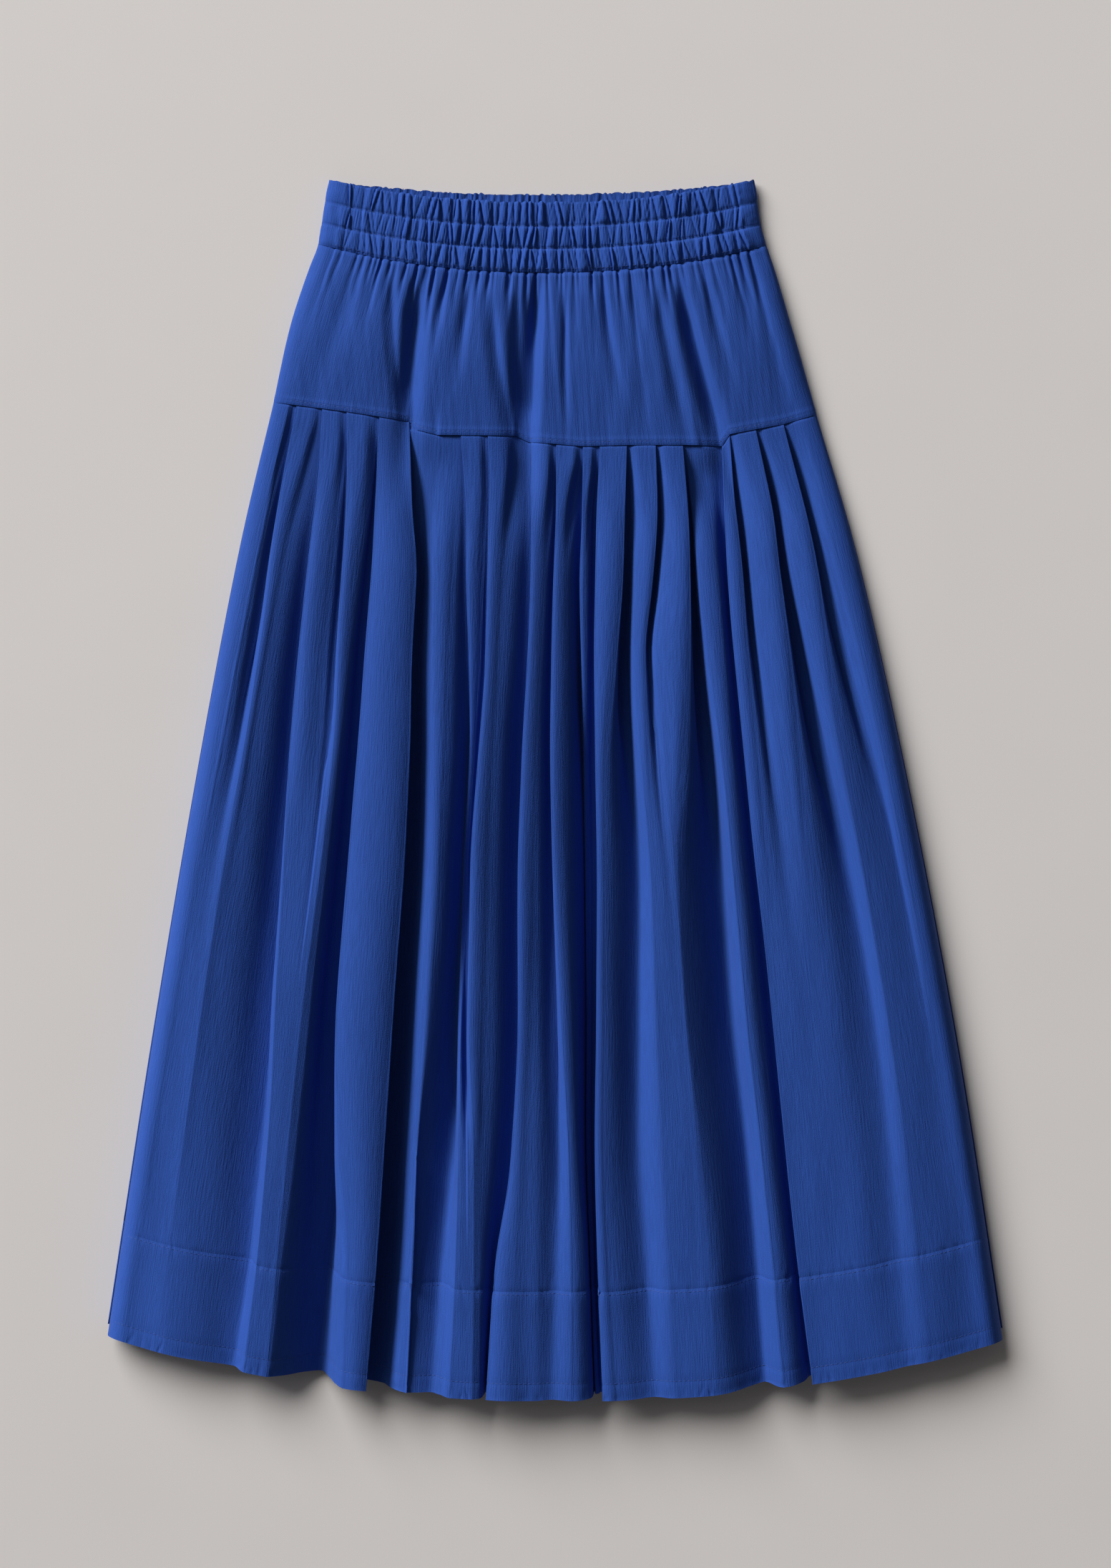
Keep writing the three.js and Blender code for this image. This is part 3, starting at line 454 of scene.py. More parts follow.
def front_section(d):
    row = row_at(d)
    share = skirt_share(d)
    width = row["width"]
    opened = smooth(0, OPENED_AT, share)
    folds = folds_at(share, row)
    knots = [(step, crest_z(row, step / width), 0) for step in SIDE_STEPS]
    for i, fold in enumerate(folds):
        valley = valley_knots(fold, share, row)
        knots += face_knots(knots[-1], valley[0], folds[i - 1] if i else None, fold, opened)
        knots += valley
    right = [(width - step, crest_z(row, step / width), 0) for step in SIDE_STEPS][::-1]
    knots += face_knots(knots[-1], right[0], folds[-1], None, opened)
    knots += right
    return row, np.array(knots)


def corner_cut(points, times):
    """Rounds each row's line: every corner is cut at a quarter of its two runs, and the ends stay."""
    for _ in range(times):
        a, b = points[:, :-1], points[:, 1:]
        cut = np.stack([mix(a, b, 0.25), mix(a, b, 0.75)], axis=2)
        cut = cut.reshape(points.shape[0], -1, points.shape[2])
        points = np.concatenate([points[:, :1], cut[:, 1:-1], points[:, -1:]], axis=1)
    return points


def ripple(x, y, scale_x, scale_y, seed, waves=5):
    """Noise that bends cloth softly: a sum of sines whose phases come from a seed."""
    source = np.random.default_rng(seed)
    total = np.zeros(np.broadcast(x, y).shape)
    for _ in range(waves):
        kx = source.uniform(0.5, 1.5) * 2 * math.pi / scale_x
        ky = source.uniform(0.5, 1.5) * 2 * math.pi / scale_y * source.choice([-1, 1])
        total += np.sin(kx * x + ky * y + source.uniform(0, 2 * math.pi))
    return total / waves


def row_normals(points):
    """Unit normals of a grid of points, facing up where the grid lies flat."""
    along = np.gradient(points, axis=1)
    downward = np.gradient(points, axis=0)
    normal = np.cross(along, -downward)
    length = np.linalg.norm(normal, axis=2, keepdims=True)
    return normal / np.maximum(length, 1e-9)


def from_side(count):
    """How many columns each column lies from the nearer side."""
    steps = np.arange(count)
    return np.minimum(steps, steps[::-1])


def arc_shares(points):
    """Distance along the cloth of each column, averaged over the rows: the weave's threads run down it."""
    steps = np.linalg.norm(np.diff(points, axis=1), axis=2).mean(axis=0)
    return np.concatenate([[0], np.cumsum(steps)])


# Yoke: folds that run down it, as shares of the width at the waist seam and at the yoke seam,
# where they start and end down it, their half width there, their depth, and how much steeper the right
# side is than the left.
YOKE_FOLDS = [
    (0.095, 0.08, 0, 0.9, (3, 8), 1.5, 0),
    (0.17, 0.235, 0, 1.1, (3, 8), 2.6, 0.2),
    (0.234, 0.2485, 0.08, 3, (5, 9), 9, 0.1),
    (0.29, 0.275, 0, 0.7, (3, 6), 2.2, 0.2),
    (0.345, 0.33, 0, 0.8, (3, 8), 2.6, 0.3),
    (0.385, 0.435, 0.15, 1.2, (3, 9), 3, 0.3),
    (0.445, 0.452, 0, 1.2, (4, 8), 3, 0),
    (0.496, 0.4725, 0.03, 3, (9, 14), 10.5, 0.85),
    (0.555, 0.54, 0.05, 1.1, (2, 4), 2.2, 0.3),
    (0.63, 0.655, 0, 0.85, (4, 9), 3, 0.4),
    (0.7, 0.715, 0, 0.6, (3, 6), 2.2, 0),
    (0.745, 0.765, 0.05, 1.2, (3, 7), 3, 0),
    (0.795, 0.829, 0.08, 3, (6, 10), 9, 0.6),
    (0.855, 0.87, 0, 0.9, (3, 7), 2.2, 0.2),
    (0.93, 0.93, 0, 0.7, (3, 7), 1.6, 0),
]
YOKE_SWELL = 2.2  # how far the cloth between the folds stands up
SEAM_DIP_REACH = 70


def lean_bell(off, lean):
    """A fold's profile: 1 at its deepest, falling off faster on the right where lean is above 0."""
    side = np.where(off > 0, 1 + 2.2 * max(lean, 0), 1 + 2.2 * max(-lean, 0))
    return np.exp(-((off * side) ** 2))


def yoke_dip(across, s, width):
    """Depth of the listed folds at a share s of the yoke's length."""
    dip = np.zeros_like(across)
    for top, bottom, start, end, wide, depth, lean in YOKE_FOLDS:
        at = mix(top, bottom, s)
        half = mix(*wide, min(s, 1))
        begin = smooth(start - 0.08, start + 0.3, s)
        finish = 1 - smooth(end - 0.55, end, s)
        ease = 1 if end < 2 else mix(1, 0.55, smooth(0.75, 1, s))
        dip += depth * begin * finish * ease * lean_bell((across - at) * width / half, lean)
    return dip


def seam_dip(across, d, width):
    """The yoke's deep folds carry on below its seam and fade out."""
    fade = 1 - smooth(0, SEAM_DIP_REACH, d - yoke_seam)
    return yoke_dip(across, 1.0, width) * fade


# Skirt and hem band, front
UNDER_YOKE = 2.5  # the skirt's top edge lies this far up under the yoke
LAP = 0.75  # and this far below the yoke's face
PRESSED = (0.47, 24)  # sewn pleats are pressed to this share of their height, over this reach
HEM_STEP = 0.3  # the hem band's layers stand this far above the skirt
HEM_PUCKER = 0.75
HEM_LINE = 12  # the hem's own stitches run this far above its edge
NEAR_SEAM = 2.2  # the yoke's and the hem band's stitches run this far from their seams
WAIST_LINE = 2  # and the waist seam's this far above it
FAN_WIDTH = 560  # the width at which the small waves have their own size; they fan out with the skirt
FAN_SPAN = (-320, 320)


def pucker(position, seed, pitch, length, away, span):
    """Small creases across a row of stitches, uneven in place, depth and length, over a span."""
    source = np.random.default_rng(seed)
    total = np.zeros(np.broadcast(position, away).shape)
    at = span[0]
    while at < span[1]:
        at += pitch * source.uniform(0.5, 1.6)
        reach = length * source.uniform(0.4, 1.5)
        depth = source.uniform(0.2, 1)
        half = pitch * source.uniform(0.14, 0.3)
        slant = source.uniform(-0.35, 0.35)
        crease = np.exp(-(((position - at - slant * away) / half) ** 2))
        total += depth * crease * np.exp(-((away / reach) ** 2))
    return total


def cut_sections(section_at, stations):
    """The rows at the stations, and their knots with the corners cut."""
    sections = [section_at(d) for d in stations]
    return [row for row, _ in sections], corner_cut(np.array([knots for _, knots in sections]), 1)


def front_cloth(stations):
    rows, knots = cut_sections(front_section, stations)
    points = np.empty(knots.shape)
    for r, (row, d) in enumerate(zip(rows, stations)):
        width = row["width"]
        across = knots[r, :, 0] / width
        inward = np.minimum(across, 1 - across) * width
        below_seam = d - yoke_seam
        lapped = LAP * (1 - smooth(0.3, 2.4, below_seam)) * smooth(0, 8, inward)
        pressed = mix(PRESSED[0], 1, smooth(0, PRESSED[1], below_seam))
        z = mix(crest_z(row, across), knots[r, :, 1], pressed) - lapped
        z = z - seam_dip(across, d, width) * smooth(4, 14, inward)
        points[r] = front_points(row, d, across, z, knots[r, :, 2])
    return points


def soften_front(points, stations):
    """Soft waves down the faces, then the layers, puckers and stitch grooves of the hem."""
    d = np.asarray(stations)[:, None]
    x, y = points[..., 0], points[..., 1]
    width = np.array([row_at(v)["width"] for v in stations])[:, None]
    fan = x / width * FAN_WIDTH
    wave = 0.45 * ripple(x, y, 34, 300, 3) * smooth(0.05, 0.4, skirt_share(d))
    wave = wave + 0.05 * ripple(fan, y, 14, 110, 4) + 0.02 * ripple(fan, y, 6, 40, 5)
    below = d - hem_band_top
    groove = 0.22 * np.exp(-((below / 0.9) ** 2))
    step = HEM_STEP * smooth(0.2, 5, below) * (1 - 0.7 * smooth(6, 24, below))
    seam = pucker(fan, 11, 5.5, 7, below, FAN_SPAN) * np.where(below < 0, 0.7, 1)
    above_edge = hem - d
    edge = pucker(fan, 13, 5, 6, above_edge - 1, FAN_SPAN) * smooth(-1, 2, above_edge)
    hem_groove = 0.25 * np.exp(-(((above_edge - HEM_LINE) / 0.9) ** 2))
    wave = wave + step - groove - HEM_PUCKER * seam * 0.8 - HEM_PUCKER * edge - hem_groove
    hold = smooth(0, 20, from_side(points.shape[1]))
    return points + row_normals(points) * (wave * hold)[..., None]


# Back
def back_side(row):
    low = row["side"] - HALF_GAP
    return [(step, low * (1 - math.sqrt(1 - (1 - step / SHOULDER) ** 2))) for step in SIDE_STEPS]


def back_section(d):
    row = row_at(d)
    width = row["width"]
    share = skirt_share(d)
    side = back_side(row)
    knots = list(side)
    tuck = mix(*BACK_TUCK, share)
    margin = SHOULDER + BACK_RAMP[0] + BACK_MARGIN
    for i in range(BACK_PLEATS):
        at = mix(margin, width - margin, i / (BACK_PLEATS - 1))
        if 0 < i < BACK_PLEATS - 1:
            at += BACK_DRIFT * math.sin(i * 2.4) * share * width
        faces_left = i < BACK_PLEATS / 2
        away = -1 if faces_left else 1
        pleat = [
            (at + away * BACK_RAMP[0], 0), (at + away * BACK_RAMP[1], PLEAT_STACK),
            (at - away * tuck, PLEAT_STACK), (at - away * tuck, PLEAT_STACK - LAYER_GAP),
            (at, PLEAT_STACK - LAYER_GAP), (at, 0.3), (at, 0), (at - away * CRISP, 0),
        ]
        knots += pleat if faces_left else pleat[::-1]
    knots += [(width - at, z) for at, z in side][::-1]
    return row, np.array(knots)


def back_cloth(stations):
    rows, knots = cut_sections(back_section, stations)
    points = np.empty(knots.shape[:2] + (3,))
    for r, (row, d) in enumerate(zip(rows, stations)):
        width = row["width"]
        points[r] = back_points(row, d, knots[r, :, 0] / width, knots[r, :, 1])
    return points


def soften_back(points, stations):
    """The back rests on the surface, so its soft waves and puckers only lift it."""
    d = np.asarray(stations)[:, None]
    along = np.broadcast_to(arc_shares(points)[None, :], points.shape[:2])
    wave = 0.5 + 0.35 * ripple(points[..., 0], points[..., 1], 34, 260, 6)
    below = d - hem_band_top
    puckers = pucker(along, 14, 6, 7, below, (0, along.max()))
    wave = wave + 0.35 * np.exp(-((below / 1.2) ** 2)) + 0.4 * puckers
    lift = np.clip(wave, 0, 1.6) * smooth(0, 16, from_side(points.shape[1]))
    return points + np.stack([np.zeros_like(lift), np.zeros_like(lift), lift], axis=-1)


# Waistband and yoke
RIDGE_PITCH = 1 / GATHERS


class Gathers:
    """One run of gathers: uneven rounded ridges with sharp creases between them."""

    def __init__(self, seed, shared):
        source = np.random.default_rng(seed)
        self.at = shared + 0.2 * RIDGE_PITCH * source.uniform(-1, 1, len(shared))
        self.at.sort()
        self.high = source.uniform(0.3, 1, len(shared))
        self.slant = source.uniform(-0.42, 0.42, len(shared)) * RIDGE_PITCH
        self.skew = source.uniform(0.65, 1.5, len(shared))

    def height(self, across, t):
        """Height from 0 in a crease to about 1 on a ridge, where t runs from -1 to 1 down the run."""
        at = self.at + self.slant * t
        i = np.clip(np.searchsorted(at, across) - 1, 0, len(at) - 2)
        s = np.clip((across - at[i]) / np.maximum(at[i + 1] - at[i], 1e-6), 0, 1)
        return np.sin(np.pi * s ** self.skew[i]) ** 0.65 * self.high[i]


gather_places = (np.arange(-2, GATHERS + 3) + 0.42 * rng.uniform(-1, 1, GATHERS + 5)) / GATHERS
CHANNELS = [Gathers(seed, gather_places) for seed in (31, 32, 33)]
CHANNEL_LINES = [down["waist_top"], down["stitch_1"], down["stitch_2"], waist_seam]
GATHER_HIGH = 3.2
COLUMNS = dict(waist=700, yoke=560, back_waist=560, back_yoke=420)  # points across each grid
PUFF = 1.5
LINE_PINCH = 0.45


def waist_relief(across, x, d, _width):
    """Relief of the front waistband, from its stitch lines' grooves to the tops of its ridges."""
    i = int(np.clip(np.searchsorted(CHANNEL_LINES, d, side="right") - 1, 0, 2))
    top, bottom = CHANNEL_LINES[i], CHANNEL_LINES[i + 1]
    t = (d - top) / (bottom - top)
    own = CHANNELS[i].height(across, 2 * t - 1)
    above = CHANNELS[max(i - 1, 0)].height(across, 1)
    beneath = CHANNELS[min(i + 1, 2)].height(across, -1)
    from_above = 0.5 * (1 - smooth(0, 0.2, t))
    from_beneath = 0.5 * smooth(0.8, 1, t)
    ridge = own * (1 - from_above - from_beneath) + above * from_above + beneath * from_beneath
    puff = math.sin(math.pi * min(max(t, 0), 1)) ** 0.38
    if i == 0:
        puff = max(puff, 0.75 * (1 - smooth(0.25, 0.6, t))) * smooth(-0.12, 0.12, t)
    fine = 0.38 * ripple(x, d * np.ones_like(x), 2.6, 13, 40 + i, 7)
    steady = mix(0.55, 1, smooth(0.02, 0.26, across))  # the left end is flatter
    calm = mix(LINE_PINCH, 1, puff)
    relief = (ridge - 0.45) * GATHER_HIGH * calm + fine
    line = min(abs(d - at) for at in CHANNEL_LINES[1:])
    groove = 0.5 * math.exp(-((line / 0.8) ** 2))
    return relief * steady + PUFF * (puff - 0.5) - groove


def edge_scallop(across, d):
    """The top edge rises and falls with the gathers of the first channel."""
    fade = 1 - smooth(0, 7, d)
    return (CHANNELS[0].height(across, -1) - 0.4) * 1.5 * fade


class Creases:
    """The gathers' creases below the waist seam, each with its own length."""

    def __init__(self, seed):
        source = np.random.default_rng(seed)
        self.at = CHANNELS[2].at + CHANNELS[2].slant
        count = len(self.at)
        self.length = 0.1 + 0.18 * source.exponential(1, count)
        self.depth = source.uniform(0.5, 3, count)
        self.drift = source.uniform(-0.012, 0.012, count) + 0.012 * (self.at - 0.5)
        self.lean = source.uniform(0, 0.6, count)

    def dip(self, across, s, width):
        total = np.zeros_like(across)
        for at, length, depth, drift, lean in zip(self.at, self.length, self.depth, self.drift, self.lean):
            fall = math.exp(-((s / length) ** 2) * 0.7)
            half = 1.1 + 7.5 * s
            if fall > 0.01:
                total += depth * fall * lean_bell((across - at - drift * s) * width / half, lean)
        return total


YOKE_CREASES = Creases(51)
SEAM_HOLLOW_REACH = 30


def seam_hollow(across, last, width):
    """The yoke sinks into the pleats that stand open at its seam, from there up over a short reach."""
    total = np.zeros_like(across)
    for fold in FOLDS:
        start, end = fold["left"][0], fold["right"][0]
        if end - start > 0.01:
            ramp = 2.2 / width
            window = smooth(start - ramp, start + ramp, across) * (1 - smooth(end - ramp, end + ramp, across))
            total += fold["depth"][0] * PRESSED[0] * window
    return total * (1 - smooth(0, SEAM_HOLLOW_REACH, last))


def yoke_relief(across, x, d, width):
    s = (d - waist_seam) / (yoke_seam - waist_seam)
    swell = YOKE_SWELL * math.sin(math.pi * min(max(s, 0), 1)) ** 0.7
    dip = yoke_dip(across, s, width) + YOKE_CREASES.dip(across, s, width)
    steady = mix(0.45, 1, smooth(0.02, 0.18, across))
    soft = 0.3 * ripple(x, d * np.ones_like(x), 24, 130, 7) + 0.12 * ripple(x, d * np.ones_like(x), 7, 70, 8)
    tucked = 2.4 * (1 - smooth(-1.5, 3.5, d - waist_seam))
    last = yoke_seam - d
    edge = 0.5 * (1 - smooth(2, 7, last)) - 0.35 * smooth(-0.6, 0.6, 0.6 - last)
    groove = 0.3 * math.exp(-(((last - NEAR_SEAM) / 0.6) ** 2))
    return swell - dip * steady + soft - tucked + edge - groove - seam_hollow(across, last, width)


def columns(width, count):
    turn = np.array(SIDE_STEPS) / width
    inner = np.linspace(turn[-1], 1 - turn[-1], count - 2 * len(turn) + 2)
    return np.concatenate([turn[:-1], inner, (1 - turn[:-1])[::-1]])


def gather_rows(stations, count):
    for r, d in enumerate(stations):
        row = row_at(d)
        yield r, d, row, row["width"], columns(row["width"], count)


def gathered_front(stations, count, relief_at):
    points = np.empty((len(stations), count, 3))
    relief = np.empty((len(stations), count))
    for r, d, row, width, across in gather_rows(stations, count):
        points[r] = front_points(row, d, across, crest_z(row, across))
        relief[r] = relief_at(across, points[r, :, 0], d, width)
        points[r, :, 1] += edge_scallop(across, d)
    side = smooth(0, 8, from_side(count))
    return points + row_normals(points) * (relief * mix(0.35, 1, side))[..., None]


def gathered_back(stations, count, fade_at):
    points = np.empty((len(stations), count, 3))
    for r, d, row, width, across in gather_rows(stations, count):
        inward = np.minimum(across, 1 - across) * width
        turned = np.sqrt(np.maximum(0, 1 - (1 - np.clip(inward / SHOULDER, 0, 1)) ** 2))
        ridge = waist_relief(across, across * width, min(d, waist_seam), width) / GATHER_HIGH
        lift = 1.6 * np.clip(0.6 - ridge, 0, 1.3) * fade_at(d) * smooth(1, 9, inward)
        z = (row["side"] - HALF_GAP) * (1 - turned) + lift
        points[r] = back_points(row, d, across, z)
        points[r, :, 1] += edge_scallop(1 - across, d)
    return points


# Meshes
def border(rows, cols):
    """The grid's border, from the top left down, along the bottom and back up."""
    left = [r * cols for r in range(rows)]
    bottom = [(rows - 1) * cols + c for c in range(1, cols)]
    right = [r * cols + cols - 1 for r in range(rows - 2, -1, -1)]
    top = [c for c in range(cols - 2, 0, -1)]
    return np.array(left + bottom + right + top)


def mark_sharp(mesh, rings):
    """Marks the edges that run along the rings, so that the rims' shading stays apart from the faces'."""
    def keys(pairs):
        pairs = np.sort(pairs, axis=1).astype(np.int64)
        return pairs[:, 0] * len(mesh.vertices) + pairs[:, 1]

    ends = np.empty(len(mesh.edges) * 2, np.int32)
    mesh.edges.foreach_get("vertices", ends)
    wanted = [keys(np.stack([ring, np.roll(ring, -1)], axis=1)) for ring in rings]
    sharp = np.isin(keys(ends.reshape(-1, 2)), np.concatenate(wanted))
    mesh.attributes.new("sharp_edge", "BOOLEAN", "EDGE").data.foreach_set("value", sharp)


def new_object(name, points, faces, material):
    mesh = bpy.data.meshes.new(name)
    mesh.from_pydata((np.asarray(points) * MM).tolist(), [], [list(map(int, face)) for face in faces])
    mesh.polygons.foreach_set("use_smooth", [True] * len(mesh.polygons))
    mesh.materials.append(material)
    mesh.update()
    obj = bpy.data.objects.new(name, mesh)
    scene.collection.objects.link(obj)
    return obj


def cloth_object(name, outer, stations, material, outward):
    """A closed cloth shell: a grid of points on its outer face, the same grid moved in, and its rims."""
    rows, cols = outer.shape[:2]
    count = rows * cols
    inner = outer - row_normals(outer) * CLOTH * outward
    if outward < 0:
        inner[..., 2] = np.maximum(inner[..., 2], outer[..., 2])
    points = np.concatenate([outer.reshape(-1, 3), inner.reshape(-1, 3)])
    r, c = np.meshgrid(np.arange(rows - 1), np.arange(cols - 1), indexing="ij")
    a = (r * cols + c).ravel()
    face = np.stack([a, a + cols, a + cols + 1, a + 1], axis=1)
    ring = border(rows, cols)
    after = np.roll(ring, -1)
    rim = np.stack([ring, ring + count, after + count, after], axis=1)
    quads = np.concatenate([face, face[:, ::-1] + count, rim])
    if outward < 0:
        quads = quads[:, ::-1]
    obj = new_object(name, points, quads, material)
    mesh = obj.data
    mark_sharp(mesh, [ring, ring + count])
    corners = np.empty(len(mesh.loops), np.int32)
    mesh.loops.foreach_get("vertex_index", corners)
    along = np.tile(arc_shares(outer), rows) * MM
    downward = -np.repeat(np.asarray(stations), cols) * MM
    place = np.stack([along, downward], axis=1)[corners % count]
    mesh.uv_layers.new(name="weave").data.foreach_set("uv", place.ravel())
    return obj


# Stitches
STITCH_LENGTH = 2.6
STITCH_SPACE = 0.9
STITCH_THICK = 0.42
STITCH_SUNK = 0.12
STITCH_SIDES = 6
STITCH_RINGS = ((0, 0.45), (0.12, 1), (0.88, 1), (1, 0.45))


def stitch_run(name, outer, row, color, skip=6):
    """A row of stitches along one row of a cloth's grid, left out where the cloth turns under."""
    line = outer[row]
    normal = row_normals(outer)[row]
    downward = np.gradient(outer, axis=0)[row]
    steps = np.linalg.norm(np.diff(line, axis=0), axis=1)
    along = np.concatenate([[0], np.cumsum(steps)])
    points, faces = [], []
    pitch = STITCH_LENGTH + STITCH_SPACE
    for start in np.arange(along[skip], along[-skip - 1] - pitch, pitch):
        ends = np.array([start, start + STITCH_LENGTH])
        at = np.stack([np.interp(ends, along, line[:, k]) for k in range(3)], axis=1)
        up = np.array([np.interp(ends.mean(), along, normal[:, k]) for k in range(3)])
        tilt = up[2] / max(np.linalg.norm(up), 1e-9)
        if tilt < 0.35 or at[1, 0] - at[0, 0] < STITCH_LENGTH * 0.35:
            continue
        up /= np.linalg.norm(up)
        aim = at[1] - at[0]
        aim /= np.linalg.norm(aim)
        side = np.cross(aim, up)
        first = len(points)
        for share, wide in STITCH_RINGS:
            arch = STITCH_THICK * 0.5 * math.sin(math.pi * share) - STITCH_SUNK
            center = mix(at[0], at[1], share) + up * arch
            for k in range(STITCH_SIDES):
                angle = 2 * math.pi * k / STITCH_SIDES
                radius = STITCH_THICK / 2 * wide
                points.append(center + (side * math.cos(angle) + up * math.sin(angle)) * radius)
        for ring in range(len(STITCH_RINGS) - 1):
            for k in range(STITCH_SIDES):
                a = first + ring * STITCH_SIDES + k
                b = first + ring * STITCH_SIDES + (k + 1) % STITCH_SIDES
                faces.append((a, b, b + STITCH_SIDES, a + STITCH_SIDES))
        last = first + (len(STITCH_RINGS) - 1) * STITCH_SIDES
        faces.append(tuple(range(first + STITCH_SIDES - 1, first - 1, -1)))
        faces.append(tuple(range(last, last + STITCH_SIDES)))
    return new_object(name, points, faces, color)


def nearest_row(stations, d):
    return int(np.argmin(np.abs(np.asarray(stations) - d)))


# Materials
class Shading:
    """A new material, with short ways to add the nodes that this scene uses."""

    def __init__(self, name, values):
        self.material = bpy.data.materials.new(name)
        self.material.use_nodes = True
        self.nodes = self.material.node_tree.nodes
        self.shader = self.nodes["Principled BSDF"]
        self.fill(self.shader, values)
        self.place = self.nodes.new("ShaderNodeTexCoord").outputs

    def fill(self, node, values):
        """Links a node's sockets to the outputs among the values, and sets the others."""
        for key, value in values.items():
            if isinstance(value, bpy.types.NodeSocket):
                self.material.node_tree.links.new(value, node.inputs[key])
            else:
                node.inputs[key].default_value = value

    def noise(self, place, scale, detail, roughness=0.5, dimensions="3D"):
        node = self.nodes.new("ShaderNodeTexNoise")
        node.noise_dimensions = dimensions
        self.fill(node, {"Vector": place, "Scale": scale, "Detail": detail, "Roughness": roughness})
        return node.outputs["Fac"]

    def blend(self, amount, low, high, how="MIX"):
        node = self.nodes.new("ShaderNodeMix")
        node.data_type = "RGBA"
        node.blend_type = how
        self.fill(node, {"Factor": amount, "A": low, "B": high})
        return node.outputs["Result"]

    def bump(self, height, strength, distance, under=None):
        node = self.nodes.new("ShaderNodeBump")
        self.fill(node, {"Height": height, "Strength": strength, "Distance": distance})
        if under is not None:
            self.fill(node, {"Normal": under})
        return node.outputs["Normal"]


def tinted(color, share):
    return (*[v * share for v in color], 1)


def cloth_material(name, color):
    shading = Shading(name, {
        "Roughness": 0.8, "Sheen Weight": 0.05, "Sheen Roughness": 0.4, "Specular IOR Level": 0.14,
    })

    def weave_noise(scale, detail, roughness):
        """Noise on the weave: scale is how many grains a metre holds across the threads and down them."""
        mapping = shading.nodes.new("ShaderNodeMapping")
        shading.fill(mapping, {"Scale": (*scale, 1), "Vector": shading.place["UV"]})
        return shading.noise(mapping.outputs["Vector"], 1, detail, roughness, "2D")

    ribs = weave_noise((1250, 60), 2, 0.5)
    slubs = weave_noise((520, 40), 3, 0.6)
    crepe = weave_noise((1500, 1100), 2, 0.7)
    wear = weave_noise((22, 9), 3, 0.5)
    relief = shading.nodes.new("ShaderNodeMath")
    relief.operation = "MULTIPLY_ADD"
    shading.fill(relief, {0: crepe, 1: 0.6, 2: ribs})
    weave = relief.outputs["Value"]
    tone = shading.blend(slubs, tinted(color, 0.95), tinted(color, 1.05))
    threads = shading.blend(weave, (0.74, 0.75, 0.78, 1), (1.07, 1.06, 1.05, 1))
    patches = shading.blend(wear, (0.93, 0.94, 0.95, 1), (1.08, 1.07, 1.05, 1))
    toned = shading.blend(1, shading.blend(1, tone, threads, "MULTIPLY"), patches, "MULTIPLY")
    soft = shading.bump(slubs, 0.06, 0.001)
    shading.fill(shading.shader, {"Base Color": toned, "Normal": shading.bump(weave, 0.55, 0.0005, soft)})
    return shading.material


def grained_material(name, color, roughness, grains, contrast):
    """A plain colour that varies a little in grains, so many to a metre."""
    shading = Shading(name, {"Roughness": roughness})
    grain = shading.noise(shading.place["Object"], grains, 3)
    tone = shading.blend(grain, tinted(color, 1 - contrast), tinted(color, 1 + contrast))
    shading.fill(shading.shader, {"Base Color": tone, "Normal": shading.bump(grain, contrast, 0.0002)})
    return shading.material


BLUE = (0.0176, 0.0612, 0.286)
cloth = cloth_material("skirt cloth", BLUE)
band_cloth = cloth_material("waistband cloth", [v * 1.05 for v in BLUE])
thread = grained_material("thread", [v * 0.8 for v in BLUE], 0.6, 2600, 0.35)


def graded(*parts):
    """Distances down the cloth from (from, to, count) parts, each without its own end but the last."""
    lists = [np.linspace(a, b, count, endpoint=False) for a, b, count in parts]
    return np.concatenate(lists + [[parts[-1][1]]])


skirt_stations = graded(
    (yoke_seam - UNDER_YOKE, yoke_seam + 3, 6), (yoke_seam + 3, yoke_seam + 90, 16),
    (yoke_seam + 90, hem_band_top - 16, 50), (hem_band_top - 16, hem_band_top, 8),
)
hem_stations = graded(
    (hem_band_top, hem_band_top + 3, 4), (hem_band_top + 3, hem_band_top + 15, 6),
    (hem_band_top + 15, hem - 14, 9), (hem - 14, hem - HALF_GAP, 10),
)
waist_stations = graded((HALF_GAP, 2.5, 4), (2.5, waist_seam + 0.6, 42))
yoke_stations = graded(
    (waist_seam - 2, waist_seam + 24, 16), (waist_seam + 24, yoke_seam - 8, 30),
    (yoke_seam - 8, yoke_seam + 0.5, 9),
)

skirt_grid = soften_front(front_cloth(skirt_stations), skirt_stations)
hem_grid = soften_front(front_cloth(hem_stations), hem_stations)
waist_grid = gathered_front(waist_stations, COLUMNS["waist"], waist_relief)
yoke_grid = gathered_front(yoke_stations, COLUMNS["yoke"], yoke_relief)

back_stations = np.linspace(yoke_seam + HALF_GAP, hem_band_top, 44)
back_hem_stations = graded((hem_band_top, hem_band_top + 12, 5), (hem_band_top + 12, hem - HALF_GAP, 8))
back_waist_stations = np.linspace(HALF_GAP, waist_seam - HALF_GAP, 30)
back_yoke_stations = graded((waist_seam, waist_seam + 40, 14), (waist_seam + 40, yoke_seam - HALF_GAP, 10))
back_grid = soften_back(back_cloth(back_stations), back_stations)
back_hem_grid = soften_back(back_cloth(back_hem_stations), back_hem_stations)
back_waist_grid = gathered_back(back_waist_stations, COLUMNS["back_waist"], lambda d: 1)
back_yoke_grid = gathered_back(
    back_yoke_stations, COLUMNS["back_yoke"], lambda d: 1 - smooth(0, 70, d - waist_seam))

SLOTS = {"waistband_cloth": band_cloth, "skirt_cloth": cloth}
WAIST_CUT = (0.41, 0.052)
YOKE_CUT = (0.42, 0.13)


